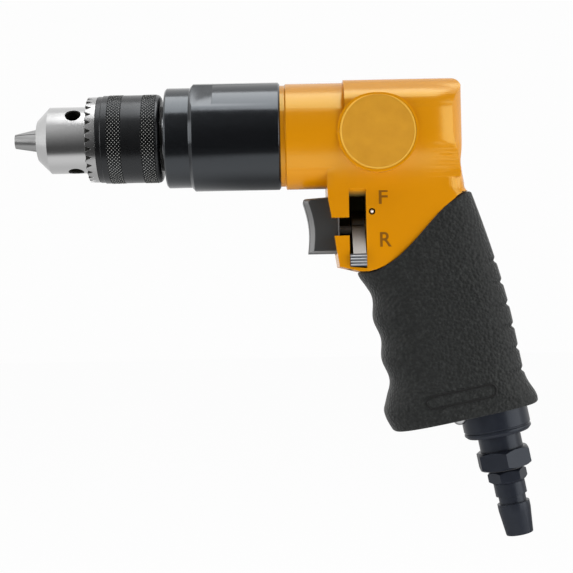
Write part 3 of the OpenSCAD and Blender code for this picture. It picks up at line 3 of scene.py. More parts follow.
import bmesh
import bpy
from mathutils import Matrix, Vector
from mathutils.bvhtree import BVHTree


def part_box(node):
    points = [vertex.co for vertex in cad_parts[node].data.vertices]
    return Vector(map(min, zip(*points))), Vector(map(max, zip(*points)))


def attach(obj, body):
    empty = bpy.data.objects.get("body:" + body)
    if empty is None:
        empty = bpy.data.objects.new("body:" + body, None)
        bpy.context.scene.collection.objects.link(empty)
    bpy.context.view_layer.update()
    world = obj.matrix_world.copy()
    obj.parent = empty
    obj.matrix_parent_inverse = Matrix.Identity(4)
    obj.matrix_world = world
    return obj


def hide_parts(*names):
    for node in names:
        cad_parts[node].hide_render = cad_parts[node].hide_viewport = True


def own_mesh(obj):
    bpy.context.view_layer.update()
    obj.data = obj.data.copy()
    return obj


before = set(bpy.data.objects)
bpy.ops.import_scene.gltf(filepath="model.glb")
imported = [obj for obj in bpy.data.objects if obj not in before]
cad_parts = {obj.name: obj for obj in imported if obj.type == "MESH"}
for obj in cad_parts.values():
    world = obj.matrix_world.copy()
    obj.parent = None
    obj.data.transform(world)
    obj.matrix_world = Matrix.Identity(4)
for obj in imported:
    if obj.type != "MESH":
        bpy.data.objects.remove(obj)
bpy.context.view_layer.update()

# Air motor and gear train: rotor, cylinder, end plates, ball bearings, planets and ring gear.
# They are hardened steel, ground all over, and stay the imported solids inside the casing.
# The finish carries the fine grinding lines that run round each part.


class Wire:
    """A socket in a finish. Sums and products of wires add Math nodes."""

    def __init__(self, tree, socket):
        self.tree = tree
        self.socket = socket

    def join(self, operation, *values):
        return self.tree.node("ShaderNodeMath", {"operation": operation}, dict(enumerate(values)))

    def __add__(self, other):
        return self.join("ADD", self, other)

    def __radd__(self, other):
        return self.join("ADD", other, self)

    def __sub__(self, other):
        return self.join("SUBTRACT", self, other)

    def __rsub__(self, other):
        return self.join("SUBTRACT", other, self)

    def __mul__(self, other):
        return self.join("MULTIPLY", self, other)

    def __rmul__(self, other):
        return self.join("MULTIPLY", other, self)

    def __pow__(self, other):
        return self.join("POWER", self, other)

    def least(self, other):
        return self.join("MINIMUM", self, other)

    def most(self, other):
        return self.join("MAXIMUM", self, other)

    def ramp(self, low, high):
        return self.tree.node(
            "ShaderNodeMapRange",
            {"interpolation_type": "SMOOTHSTEP"},
            {"Value": self, "From Min": low, "From Max": high},
        )


class Tree:
    """A node tree and the one method that adds nodes to it."""

    def __init__(self, tree):
        self.tree = tree
        tree.nodes.clear()

    def node(self, kind, settings=None, values=None, output=0):
        made = self.tree.nodes.new(kind)
        for key, value in (settings or {}).items():
            setattr(made, key, value)
        for key, value in (values or {}).items():
            if isinstance(value, Wire):
                self.tree.links.new(value.socket, made.inputs[key])
            else:
                made.inputs[key].default_value = value
        return Wire(self, made.outputs[output] if len(made.outputs) else None)


class Finish(Tree):
    """A material with one principled shader. Fixed values are set on the shader's own sockets."""

    def __init__(self, name, colour, roughness, **fixed):
        self.material = bpy.data.materials.new(name)
        self.material.use_nodes = True
        super().__init__(self.material.node_tree)
        self.shader = self.tree.nodes.new("ShaderNodeBsdfPrincipled")
        end = self.tree.nodes.new("ShaderNodeOutputMaterial")
        self.tree.links.new(self.shader.outputs[0], end.inputs["Surface"])
        self.shader.inputs["Base Color"].default_value = (*colour, 1)
        self.shader.inputs["Roughness"].default_value = roughness
        for key, value in fixed.items():
            self.shader.inputs[key.replace("_", " ")].default_value = value
        self.place = self.node("ShaderNodeTexCoord", output="Object")
        split = self.node("ShaderNodeSeparateXYZ", values={0: self.place})
        parts = split.socket.node.outputs
        self.x, self.y, self.z = (Wire(self, parts[i]) for i in range(3))

    def feed(self, socket, wire):
        self.tree.links.new(wire.socket, self.shader.inputs[socket])

    def point(self, x, y, z):
        return self.node("ShaderNodeCombineXYZ", values={0: x, 1: y, 2: z})

    def noise(self, place, scale, detail=2.0, roughness=0.5):
        return self.node(
            "ShaderNodeTexNoise",
            values={"Vector": place, "Scale": scale, "Detail": detail, "Roughness": roughness},
        )

    def grain(self, x_scale, y_scale, z_scale, detail=3.0):
        """Noise drawn out along the axis with the lowest scale."""
        return self.noise(
            self.point(self.x * x_scale, self.y * y_scale, self.z * z_scale), 1.0, detail
        )

    def from_spindle(self):
        """The distance from the spindle axis."""
        return (self.y * self.y + self.z * self.z) ** 0.5

    def blend(self, share, first, second):
        return self.node(
            "ShaderNodeMix", {"data_type": "RGBA"}, {0: share, 6: first, 7: second}, 2
        )

    def shade(self, share, first, second):
        self.feed("Base Color", self.blend(share, first, second))

    def relief(self, height, distance, strength=1.0):
        bump = self.node(
            "ShaderNodeBump", values={"Height": height, "Distance": distance, "Strength": strength}
        )
        self.feed("Normal", bump)


def turned_lines(finish, pitch, depth, spread):
    """Tool marks that run round the spindle axis, as lines along a turned part's outline."""
    along = finish.x + 0.7 * finish.from_spindle()
    lines = finish.noise(
        finish.point(along * (1 / pitch), finish.y * 12.0, finish.z * 12.0), 1.0, 3.0, 0.65
    )
    finish.relief(lines, depth)
    return lines * spread - spread / 2


def dress(finish, *nodes):
    """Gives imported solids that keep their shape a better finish."""
    for node in nodes:
        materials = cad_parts[node].data.materials
        materials.clear()
        materials.append(finish.material)


ground_steel = Finish("ground_steel", (0.52, 0.525, 0.54), 0.3, Metallic=1.0)
ground_steel.feed("Roughness", turned_lines(ground_steel, 0.0004, 0.00001, 0.16) + 0.3)
dress(
    ground_steel,
    "rotor", "motor_cylinder", "front_end_plate", "rear_end_plate", "front_bearing_outer",
    "front_bearing_inner", "rear_bearing_outer", "rear_bearing_inner", "cylinder_dowel",
    "ring_gear", "planet_gear_1", "planet_gear_2", "planet_gear_3", "planet_pins", "gear_spacer",
    "spindle_bearing_outer", "spindle_bearing_inner", "spindle_bearing_balls", "spindle",
    "chuck_nut", "chuck_screw", "detent_spring", "detent_ball",
)

# Vanes: flat blades of cloth laminate that slide in the rotor's slots.
# The woven layers show as a brown crossed grain.
laminate = Finish("vane_laminate", (0.2, 0.1, 0.045), 0.55)
laminate.shade(
    laminate.grain(900.0, 5200.0, 5200.0, 2.0), (0.13, 0.062, 0.03, 1), (0.3, 0.16, 0.075, 1)
)
dress(laminate, "rotor_vanes")

# Felt parts: the spindle's dust seal and the exhaust muffler ring.
# Pressed grey wool, with loose fibres on its surface.
felt = Finish("pressed_felt", (0.1, 0.095, 0.085), 0.95)
fibres = felt.noise(felt.place, 2600.0, 4.0, 0.7)
felt.shade(fibres, (0.05, 0.047, 0.042, 1), (0.17, 0.16, 0.145, 1))
felt.relief(fibres, 0.0002)
dress(felt, "spindle_seal", "exhaust_muffler")

# Sealing rings: moulded black rubber, under the throttle valve and round the inlet plug.
# A faint bloom dulls their skin.
seal_rubber = Finish("seal_rubber", (0.018, 0.018, 0.019), 0.55)
seal_bloom = seal_rubber.noise(seal_rubber.place, 900.0, 3.0)
seal_rubber.feed("Roughness", seal_bloom * 0.25 + 0.42)
dress(seal_rubber, "valve_seat_ring", "inlet_seal")

# Valve parts: bushing, throttle and reverse valve, turned from brass bar,
# and the inlet strainer, a cup of woven brass wire.
brass = Finish("valve_brass", (0.62, 0.42, 0.16), 0.28, Metallic=1.0)
brass.feed("Roughness", turned_lines(brass, 0.0005, 0.00001, 0.15) + 0.28)
dress(brass, "valve_bushing", "throttle_valve", "reverse_valve")
wire_cloth = Finish("wire_cloth", (0.6, 0.5, 0.3), 0.4, Metallic=1.0)
strand = wire_cloth.node(
    "ShaderNodeTexWave", {"wave_type": "BANDS", "bands_direction": "Z"},
    {"Vector": wire_cloth.place, "Scale": 700.0},
)
wire_cloth.relief(strand, 0.0002)
dress(wire_cloth, "inlet_strainer")

# Gear housing: a steel sleeve turned in one setting, with a stepped nose and two wrench flats,
# screwed into the casing and covered with gloss blue-black enamel.


def copied(node):
    """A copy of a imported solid's mesh with its doubled corners merged."""
    shape = bmesh.new()
    shape.from_mesh(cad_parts[node].data)
    bmesh.ops.remove_doubles(shape, verts=shape.verts, dist=2e-6)
    return shape


def round_folds(shape, fold, width, segments):
    """Rounds the edges that fold by more than an angle."""
    bmesh.ops.bevel(
        shape, geom=[e for e in shape.edges if e.calc_face_angle(0) > math.radians(fold)],
        offset=width, offset_type="OFFSET", segments=segments, profile=0.5,
        affect="EDGES", clamp_overlap=True, material=-1,
    )


def eased(node, width):
    """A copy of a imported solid's mesh with its folds rounded over."""
    shape = copied(node)
    bmesh.ops.dissolve_limit(
        shape, angle_limit=math.radians(0.6), verts=shape.verts, edges=shape.edges
    )
    round_folds(shape, 25.0, width, 3)
    return shape


def piece(shape, name, finish, body, slot, *nodes, sharp=40.0):
    """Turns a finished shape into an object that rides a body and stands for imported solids."""
    mesh = bpy.data.meshes.new(name)
    shape.to_mesh(mesh)
    shape.free()
    mesh.polygons.foreach_set("use_smooth", [True] * len(mesh.polygons))
    mesh.set_sharp_from_angle(angle=math.radians(sharp))
    mesh.materials.append(finish.material)
    made = bpy.data.objects.new(name, mesh)
    bpy.context.collection.objects.link(made)
    even = made.modifiers.new("even_normals", "WEIGHTED_NORMAL")
    even.weight = 90
    even.keep_sharp = True
    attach(made, body)
    if nodes:
        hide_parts(*nodes)
    return made


FLAT_END = (0.0698, 0.0716)
FLAT_EXTRA_L = 0.0017
FLAT_TURN = math.radians(7.5)
enamel = Finish(
    "blue_black_enamel", (0.0028, 0.0031, 0.0038), 0.16,
    Specular_IOR_Level=0.8, Specular_Tint=(0.86, 0.93, 1, 1),
)
flow = enamel.noise(enamel.place, 420.0, 2.0)
enamel.feed("Roughness", flow * 0.1 + 0.12)
enamel.relief(flow, 0.000008)
gear_shell = eased("gear_housing", 0.00025)
for vert in gear_shell.verts:
    if FLAT_END[0] < vert.co.x < FLAT_END[1]:
        vert.co.x += FLAT_EXTRA_L
bmesh.ops.rotate(
    gear_shell, cent=(0, 0, 0), matrix=Matrix.Rotation(FLAT_TURN, 3, "X"), verts=gear_shell.verts
)
piece(gear_shell, "gear_housing_shell", enamel, "housing", "blued_steel", "gear_housing")

# Chuck body and its bevel-toothed ring: turned from bright bar, with three holes for the key.
# The turning marks run round it, and painted shade darkens the key holes, the gaps of the teeth and
# the body under the ring.
bright_steel = Finish("turned_bright_steel", (0.53, 0.53, 0.535), 0.27, Metallic=1.0)
bright_steel.feed("Roughness", turned_lines(bright_steel, 0.00028, 0.000012, 0.2) + 0.27)


def steel_with_painted_shade(name, shade, start, end, radius, under):
    """Bright steel with painted shade below a radius between two places, and wholly past a third.
    """
    finish = Finish(name, (shade, shade, shade), 0.27, Metallic=1.0)
    lines = turned_lines(finish, 0.00028, 0.000008, 0.14)
    past_start, past_end, past_under = (
        finish.x.ramp(at, at + 0.0002) for at in (start, end, under)
    )
    inside = 1 - finish.from_spindle().ramp(radius - 0.0004, radius)
    # Painted shade: dark and dull in the hollows and under the ring, where shade falls.
    painted_shade_mask = (inside * past_start * (1 - past_end)).most(past_under)
    finish.shade(painted_shade_mask, (shade, shade, shade, 1), (0.012, 0.012, 0.009, 1))
    finish.feed("Roughness", lines + painted_shade_mask * 0.3 + 0.2)
    finish.feed("Metallic", 1 - painted_shade_mask)
    return finish


body_steel = steel_with_painted_shade("chuck_body_steel", 0.53, 0.0115, 0.0203, 0.01345, 0.0206)
ring_steel = steel_with_painted_shade("gear_ring_steel", 0.4, 0.02, 0.0238, 0.0175, 0.03)
piece(
    eased("chuck_body", 0.00025), "chuck_body_turned", body_steel, "spindle", "bright_steel",
    "chuck_body",
)
piece(
    eased("chuck_gear_ring", 0.00008), "chuck_gear_ring_cut", ring_steel, "chuck_sleeve",
    "bright_steel", "chuck_gear_ring",
)

# Jaws: three hardened rods that slide down sloping bores. Their tips are ground to a three-sided
# point, a little darker than the body, with grinding marks along them.
jaw_steel = Finish("jaw_steel", (0.34, 0.34, 0.34), 0.38, Metallic=1.0)
grind = jaw_steel.grain(300.0, 3500.0, 3500.0)
jaw_steel.feed("Roughness", grind * 0.25 + 0.25)
jaw_steel.relief(grind, 0.00001)
for count in (1, 2, 3):
    piece(
        eased(f"chuck_jaw_{count}", 0.00015), f"chuck_jaw_{count}_ground", jaw_steel,
        f"jaw_{count}", "bright_steel", f"chuck_jaw_{count}",
    )

# Chuck sleeve: a steel ring pressed over the split nut and blackened in hot oxide.
# Two bands of diamond knurling are rolled into it between smooth bands, and its rear is rounded.
KNURL_COLUMNS = 592
KNURL_BANDS = ((29.85, 35.65), (43.7, 49.5))
KNURL_ROWS = 32
KNURL_PERIOD = 8
KNURL_RISE = 0.6
KNURL_SINK = 0.44
SLEEVE_R = 18.1
SLEEVE_REAR = 51.3
SLEEVE_ROUND = (1.7, 2.3)


def rounded(outline, radius, steps=4):
    """A closed outline of millimetre pairs with its corners rounded."""
    made = []
    for i, here in enumerate(outline):
        here = Vector(here)
        before = Vector(outline[i - 1]) - here
        after = Vector(outline[(i + 1) % len(outline)]) - here
        cut = min(radius, 0.45 * before.length, 0.45 * after.length)
        start = here + before.normalized() * cut
        end = here + after.normalized() * cut
        for j in range(steps + 1):
            t = j / steps
            made.append(tuple(start * (1 - t) ** 2 + here * (2 * t * (1 - t)) + end * t * t))
    return made


def spun(outline, columns):
    """A closed outline of (along, out) millimetre pairs spun round the spindle axis."""
    shape = bmesh.new()
    ring = [shape.verts.new((along / 1000, 0, out / 1000)) for along, out in outline]
    edges = [shape.edges.new(pair) for pair in zip(ring, ring[1:] + ring[:1])]
    bmesh.ops.spin(
        shape, geom=ring + edges, cent=(0, 0, 0), axis=(1, 0, 0), angle=2 * math.pi,
        steps=columns, use_merge=True,
    )
    bmesh.ops.remove_doubles(shape, verts=shape.verts, dist=1e-7)
    bmesh.ops.recalc_face_normals(shape, faces=shape.faces)
    return shape


sleeve_outline = [(25.2, 13.85), (25.2, 17.4), (25.5, 17.75), (27.2, 17.75), (27.55, SLEEVE_R)]
for low, high in KNURL_BANDS:
    sleeve_outline.append((low - 0.1, SLEEVE_R))
    for row in range(KNURL_ROWS + 1):
        sleeve_outline.append((low + (high - low) * row / KNURL_ROWS, SLEEVE_R))
    sleeve_outline.append((high + 0.1, SLEEVE_R))
for step in range(7):
    turn = math.radians(15 * step)
    sleeve_outline.append((
        SLEEVE_REAR - SLEEVE_ROUND[0] * (1 - math.sin(turn)),
        SLEEVE_R - SLEEVE_ROUND[1] * (1 - math.cos(turn)),
    ))
sleeve_outline += [(SLEEVE_REAR, 13.3), (49.9, 13.3), (49.9, 15.65), (26.4, 15.65), (26.4, 13.85)]
sleeve = spun(sleeve_outline, KNURL_COLUMNS)
for vert in sleeve.verts:
    out = math.hypot(vert.co.y, vert.co.z)
    for low, high in KNURL_BANDS:
        row = round((vert.co.x * 1000 - low) / (high - low) * KNURL_ROWS)
        if out > 0.0178 and 0 < row < KNURL_ROWS and low < vert.co.x * 1000 < high:
            column = round(math.atan2(vert.co.z, vert.co.y) / (2 * math.pi) * KNURL_COLUMNS)
            slants = (row + column, row - column)
            near = min(way * slant % KNURL_PERIOD for slant in slants for way in (1, -1))
            grown = 1 + (KNURL_RISE * min(1.0, near / 3) - KNURL_SINK) / 1000 / out
            vert.co.y *= grown
            vert.co.z *= grown
black_oxide = Finish("black_oxide", (0.004, 0.004, 0.004), 0.27, Specular_Tint=(0.92, 0.96, 1, 1))
stain = black_oxide.noise(black_oxide.place, 240.0, 4.0, 0.6)
# The knurl crests are painted light grey, as painted highlights on the diamonds.
painted_crest_light = black_oxide.from_spindle().ramp(0.01812, 0.01826)
oxide = black_oxide.blend(stain, (0.0014, 0.0014, 0.0016, 1), (0.0036, 0.0036, 0.004, 1))
black_oxide.shade(painted_crest_light, oxide, (0.34, 0.34, 0.32, 1))
black_oxide.feed("Roughness", stain * 0.16 + 0.2)
piece(
    sleeve, "chuck_sleeve_knurled", black_oxide, "chuck_sleeve", "black_oxide", "chuck_sleeve",
    sharp=25.0,
)
# The trigger rod takes the black oxide too; its dark colour also stands in for the shade in the gap
# behind the trigger.
dress(black_oxide, "trigger_rod")

# Casing: a die casting that holds the motor, with the neck for trigger and valves under it.
# It is painted in gloss yellow-orange enamel, which rounds every edge and has a faint orange peel.
paint = Finish(
    "yellow_enamel", (0.58, 0.22, 0.0003), 0.24,
    Specular_IOR_Level=0.8, Specular_Tint=(1, 1, 0.42, 1),
)
tone = paint.noise(paint.place, 60.0, 3.0)
peel = paint.noise(paint.place, 480.0, 2.0)


def between(wire, low, low_end, high, high_end):
    """One inside a span, with a soft start and a soft end."""
    return wire.ramp(low, low_end) * (1 - wire.ramp(high, high_end))


# Painted shade: the trigger slot, the trigger pocket and the mouth of the pin hole are coloured
# dark brown where shade falls inside them.
across = between(paint.y, -0.0142, -0.013, 0.0086, 0.009)
slot = across * between(paint.x, 0.1267, 0.1269, 0.1345, 0.1347)
slot = slot * between(paint.z, -0.0562, -0.056, -0.0262, -0.0232)
pocket = between(paint.y, -0.0088, -0.0086, 0.0086, 0.0088)
pocket = pocket * between(paint.x, 0.1195, 0.1205, 0.1345, 0.1347)
pocket = pocket * between(paint.z, -0.0496, -0.0494, -0.0256, -0.0253)
from_pin = ((paint.x - 0.1364) ** 2.0 + (paint.z + 0.0324) ** 2.0) ** 0.5
mouth = across * (1 - from_pin.ramp(0.0015, 0.0016))
painted_hollow_shade = slot.most(pocket).most(mouth)
coloured = paint.blend(tone, (0.565, 0.213, 0.0002, 1), (0.6, 0.229, 0.0004, 1))
paint.shade(painted_hollow_shade, coloured, (0.04, 0.024, 0.005, 1))
paint.feed("Roughness", peel * 0.08 + painted_hollow_shade * 0.3 + 0.2)
paint.relief(peel, 0.000006)

NECK_HALF_W = 0.0144
SIDE_WALL = 0.0222
BARREL_R = 0.02215
BARREL_SKIN_R = 0.0212
BLOCK_SKIN_R = 0.0223
EDGE_ROUND = 0.0006
FILLET_X = (0.1186, 0.171)
FILLET_FADE = (0.002, 0.006)
FILLET_Z = (-0.027, -0.0115)
FILLET_OUT = 0.00453
FILLET_SAG = 0.0094
LEAN_X = 0.1242
LEAN_Z = (-0.005, 0.01)
LEAN_ASIDE = (0.006, 0.021)
SIDE_LEAN = 0.001
DRAW_X = (0.158, 0.1754)
DRAW_Z = (-0.023, -0.01)
DRAW_ASIDE = 0.004
REAR_DRAW = 0.0045
TOP_Z = (0.006, 0.02)
TOP_DROP = 0.0007
CROWN_X = 0.1232
CROWN_Z = (0.012, 0.02)
CROWN_HALF_W = 0.0145
TOP_CROWN = 0.0014
REAR_X = (0.16, 0.1745)
REAR_Z = (-0.0285, -0.0225)
REAR_SET = 0.0017
REAR_LOW_Z = (-0.006, -0.016)
REAR_LOW_SET = 0.001
CHEEK_X = 0.1325
CHEEK_Z = -0.0545
CHEEK_RISE = 0.0006
CHEEK_FADE = 0.003
CORNER_X = 0.161
CORNER_Z = (-0.0245, -0.0055)
CORNER_ASIDE = 0.005
CORNER_PASSES = 60


def smooth_step(share):
    share = max(0.0, min(1.0, share))
    return share * share * (3 - 2 * share)


def part_of(span, value):
    """How far a value is from a span's start to its end."""
    return (value - span[0]) / (span[1] - span[0])


def smooth_over(span, value):
    return smooth_step(part_of(span, value))


def sliced(shape, place, way):
    """Adds a row of corners where a plane crosses a shape."""
    bmesh.ops.bisect_plane(
        shape, geom=shape.verts[:] + shape.edges[:] + shape.faces[:], plane_co=place, plane_no=way
    )


def neck_fillet(x, aside, z):
    """A point's distance from the middle once the corner under the barrel is filled."""
    if not (FILLET_X[0] < x < FILLET_X[1] and FILLET_Z[0] < z < FILLET_Z[1]):
        return aside
    up = part_of(FILLET_Z, z)
    fillet = NECK_HALF_W + FILLET_OUT * smooth_step(up) - FILLET_SAG * (1 - up) * up * up
    wall = max(NECK_HALF_W, math.sqrt(max(0.0, BARREL_R ** 2 - z ** 2)))
    if not wall - EDGE_ROUND < aside < fillet:
        return aside
    fade = min((x - FILLET_X[0]) / FILLET_FADE[0], (FILLET_X[1] - x) / FILLET_FADE[1])
    return aside + (fillet - aside) * min(1.0, fade)


def drawn_in(x, aside, z):
    """A point's distance from the middle once the side leans in and the rear is rounded."""
    if x > LEAN_X and aside < SIDE_WALL and z > LEAN_Z[0]:
        lean = min(1.0, part_of(LEAN_Z, z)) ** 2
        aside -= SIDE_LEAN * lean * smooth_over(LEAN_ASIDE, aside)
    if x > DRAW_X[0] and aside > DRAW_ASIDE:
        drawn = REAR_DRAW * part_of(DRAW_X, x) ** 2 * smooth_over(DRAW_Z, z)
        aside -= drawn * aside / BARREL_R
    return aside


def top_drop(x, aside, z):
    """A point's height once the top is let down and the block's top is crowned."""
    out = math.hypot(aside, z)
    if out > BARREL_SKIN_R:
        z -= TOP_DROP * smooth_over(TOP_Z, z)
    if x > CROWN_X and out > BLOCK_SKIN_R:
        z -= TOP_CROWN * smooth_over(CROWN_Z, z) * min(1.0, aside / CROWN_HALF_W) ** 2
    return z


casing = eased("motor_housing", EDGE_ROUND)
for way, cuts in (
    ((1, 0, 0), range(158, 176, 2)), ((0, 0, 1), range(-27, 12)), ((1, 0, 0), (120, 122, 124))
):
    for cut in cuts:
        sliced(casing, [cut / 1000 * c for c in way], way)
for vert in casing.verts:
    x, y, z = vert.co
    aside = drawn_in(x, neck_fillet(x, abs(y), z), z)
    z = top_drop(x, aside, z)
    back = REAR_SET + REAR_LOW_SET * smooth_over(REAR_LOW_Z, z)
    x -= back * smooth_over(REAR_Z, z) * smooth_over(REAR_X, x)
    if z < CHEEK_Z and x < CHEEK_X:
        z += CHEEK_RISE * min(1.0, (CHEEK_Z - z) / CHEEK_RISE, (CHEEK_X - x) / CHEEK_FADE)
    vert.co = (x, math.copysign(aside, y), z)
corner = [
    v for v in casing.verts
    if v.co.x > CORNER_X and CORNER_Z[0] < v.co.z < CORNER_Z[1] and abs(v.co.y) > CORNER_ASIDE
]
for _ in range(CORNER_PASSES):
    bmesh.ops.smooth_vert(casing, verts=corner, factor=0.5, use_axis_y=True)
piece(casing, "motor_housing_cast", paint, "housing", "yellow_paint", "motor_housing")

# Badge: a plain disc of anodised sheet set into the casing's boss, with a thin pressed rim.
# Its face is brushed one way and a little cloudy, and the rim is painted brighter as a painted
# highlight.
BADGE_AT = Vector((0.139, 0, -0.001))
BADGE_OUTLINE = [
    (21.55, 0.0), (21.55, 15.25), (22.42, 15.25), (22.42, 14.6), (22.32, 14.4), (22.32, 0.0)
]
badge = spun(rounded(BADGE_OUTLINE, 0.12), 128)
bmesh.ops.transform(
    badge, matrix=Matrix.Translation(BADGE_AT) @ Matrix.Rotation(-math.pi / 2, 4, "Z"),
    verts=badge.verts,
)
gilt = Finish("satin_gilt", (0.53, 0.245, 0.012), 0.42, Specular_IOR_Level=0.35)
cloud = gilt.noise(gilt.place, 190.0, 3.0)
brushed = gilt.grain(160.0, 1.0, 2600.0)
from_middle = ((gilt.x - BADGE_AT.x) ** 2.0 + (gilt.z - BADGE_AT.z) ** 2.0) ** 0.5
face = gilt.blend(cloud, (0.46, 0.205, 0.009, 1), (0.59, 0.285, 0.018, 1))
# The rim is painted brighter, as a painted highlight.
gilt.shade(from_middle.ramp(0.0145, 0.0147), face, (0.78, 0.45, 0.055, 1))
gilt.feed("Roughness", brushed * 0.2 + 0.36)
piece(badge, "side_badge_disc", gilt, "housing", "gold_badge", "side_badge")

# Trigger: moulded dark grey nylon on a push rod. Its front is dished for the finger,
# and a flat chamfer runs down the front and along the bottom of each side.
TRIGGER_HALF_W = 8.0
TRIGGER_FRONT = 108.7
TRIGGER_CORNER = 1.2
TRIGGER_TOP_SLOPE = 0.9
TRIGGER_RAKE = 1.9
TRIGGER_DISH = 1.4


def lofted(rings):
    """A skin extruded ring by ring through rows of millimetre points."""
    shape = bmesh.new()
    loop = [shape.verts.new(Vector(p) / 1000) for p in rings[0]]
    edges = [shape.edges.new(pair) for pair in zip(loop, loop[1:] + loop[:1])]
    for ring in rings[1:]:
        made = bmesh.ops.extrude_edge_only(shape, edges=edges)["geom"]
        fresh = {v for v in made if isinstance(v, bmesh.types.BMVert)}
        loop = [
            next(e.other_vert(v) for e in v.link_edges if e.other_vert(v) in fresh) for v in loop
        ]
        for vert, spot in zip(loop, ring):
            vert.co = Vector(spot) / 1000
        edges = [shape.edges.get(pair) for pair in zip(loop, loop[1:] + loop[:1])]
    return shape


def trigger_ring(side, front, rear, low, high):
    """The trigger's outline at one distance from its middle, up the rear and down the front."""
    nose = TRIGGER_FRONT + front
    top = high - TRIGGER_TOP_SLOPE
    shoulder = top - TRIGGER_CORNER
    ring = [(rear, low), (rear, high)]
    for turn in (math.radians(30 * step) for step in range(3)):
        ring.append((
            nose + TRIGGER_CORNER * (1 - math.sin(turn)),
            top - TRIGGER_CORNER * (1 - math.cos(turn)),
        ))
    for share in (step / 14 for step in range(15)):
        ring.append((
            nose + TRIGGER_RAKE * share + TRIGGER_DISH * math.sin(math.pi * share),
            shoulder - (shoulder - low) * share,
        ))
    return [(x, side, z) for x, z in ring]


trigger_half = [
    trigger_ring(-TRIGGER_HALF_W, 2.3, 122.9, -48.1, -26.1),
    trigger_ring(-7.7, 1.9, 123.5, -48.28, -26.03),
    trigger_ring(-6.3, 0.0, 123.5, -49.1, -25.7),
]
trigger_other_half = [[(x, -y, z) for x, y, z in ring] for ring in reversed(trigger_half)]
trigger = lofted(trigger_half + trigger_other_half)
bmesh.ops.holes_fill(trigger, edges=[e for e in trigger.edges if e.is_boundary])
bmesh.ops.recalc_face_normals(trigger, faces=trigger.faces)
round_folds(trigger, 24.0, 0.00025, 2)
nylon = Finish("trigger_nylon", (0.036, 0.037, 0.037), 0.4)
mould_grain = nylon.noise(nylon.place, 1500.0, 3.0)
aside = nylon.y.most(0 - nylon.y)
# The side chamfers and the rear edge are painted light grey, as painted highlights.
painted_chamfer_light = aside.ramp(0.0064, 0.0067) * (1 - aside.ramp(0.00785, 0.00797))
painted_chamfer_light = painted_chamfer_light.most(nylon.x.ramp(0.12285, 0.123) * aside.ramp(0.0064, 0.0067))
nylon.shade(painted_chamfer_light, (0.036, 0.037, 0.037, 1), (0.15, 0.15, 0.15, 1))
nylon.feed("Roughness", mould_grain * 0.14 + 0.26)
nylon.relief(mould_grain, 0.00003)
piece(trigger, "trigger_moulded", nylon, "trigger", "trigger_plastic", "trigger", sharp=20.0)

# Reverse lever: a bent steel strip, brushed along its length, with painted shade darkening it
# towards its hub.
# Its foot for the thumb carries four rolled ridges, painted light along their crests and dark
# between them as painted highlights and shade.
LEVER_FOOT_TOP = -0.0485
RIDGE_R = 0.00045
RIDGE_L = 0.0063
RIDGE_PITCH = 0.00118
FIRST_RIDGE = Vector((0.13065, -0.0164, -0.0541))
lever = eased("reverse_lever", 0.0002)
for vert in lever.verts:
    if vert.co.z < LEVER_FOOT_TOP:
        vert.co.y = max(vert.co.y, FIRST_RIDGE.y)
for ridge in range(4):
    place = Matrix.Translation(FIRST_RIDGE + Vector((0, 0, RIDGE_PITCH * ridge)))
    bmesh.ops.create_cone(
        lever, cap_ends=True, segments=16, radius1=RIDGE_R, radius2=RIDGE_R, depth=RIDGE_L,
        matrix=place @ Matrix.Rotation(math.pi / 2, 4, "Y"),
    )
lever_steel = Finish("brushed_lever_steel", (0.3, 0.29, 0.26), 0.42, Metallic=1.0)
brush = lever_steel.grain(3200.0, 3200.0, 140.0)
# Painted shade: the strip darkens towards its hub.
painted_hub_shade = lever_steel.z.ramp(-0.048, -0.0335)
foot = 1 - lever_steel.z.ramp(-0.0499, -0.0497)
# Painted highlights on the ridge crests and painted shade between them.
over_ridges = (lever_steel.z - FIRST_RIDGE.z) * (2 * math.pi / RIDGE_PITCH)
painted_ridge_light = over_ridges.join("COSINE", over_ridges) * 0.5 + 0.5
strip = lever_steel.blend(painted_hub_shade, (0.25, 0.245, 0.235, 1), (0.03, 0.023, 0.012, 1))
ridged = lever_steel.blend(painted_ridge_light, (0.15, 0.165, 0.19, 1), (0.66, 0.68, 0.7, 1))
lever_steel.shade(foot, strip, ridged)
lever_steel.feed("Roughness", brush * 0.2 + 0.34)
lever_steel.relief(brush, 0.00001)
piece(lever, "reverse_lever_strip", lever_steel, "reverse_lever", "bright_steel", "reverse_lever")

# Valve spring: steel wire wound into a coil, held behind the throttle valve.
# On the tool it shortens as the trigger is pulled, while its rear end stays put; here it gets a
# mesh of its own.
spring = piece(
    copied("valve_spring"), "valve_spring_coil", ground_steel, "housing", "bright_steel",
    "valve_spring",
)
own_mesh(spring)

# Valve pin: a zinc-plated pin through the casing that locks the valve bushing.
# Its domed ends sit back in their holes.
PIN_DOME_R = 0.0007
pin = copied("valve_pin")
pin_low, pin_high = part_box("valve_pin")
pin_middle = (pin_low + pin_high) / 2
for end in (pin_low.y, pin_high.y):
    bmesh.ops.create_icosphere(
        pin, subdivisions=3, radius=PIN_DOME_R,
        matrix=Matrix.Translation((pin_middle.x, end, pin_middle.z)),
    )
# Its near-white colour also serves as a painted glint on the domed ends.
zinc = Finish("dull_zinc", (0.86, 0.86, 0.86), 0.5)
zinc_bloom = zinc.noise(zinc.place, 900.0, 2.0)
zinc.feed("Roughness", zinc_bloom * 0.15 + 0.42)
piece(pin, "valve_pin_domed", zinc, "housing", "bright_steel", "valve_pin")

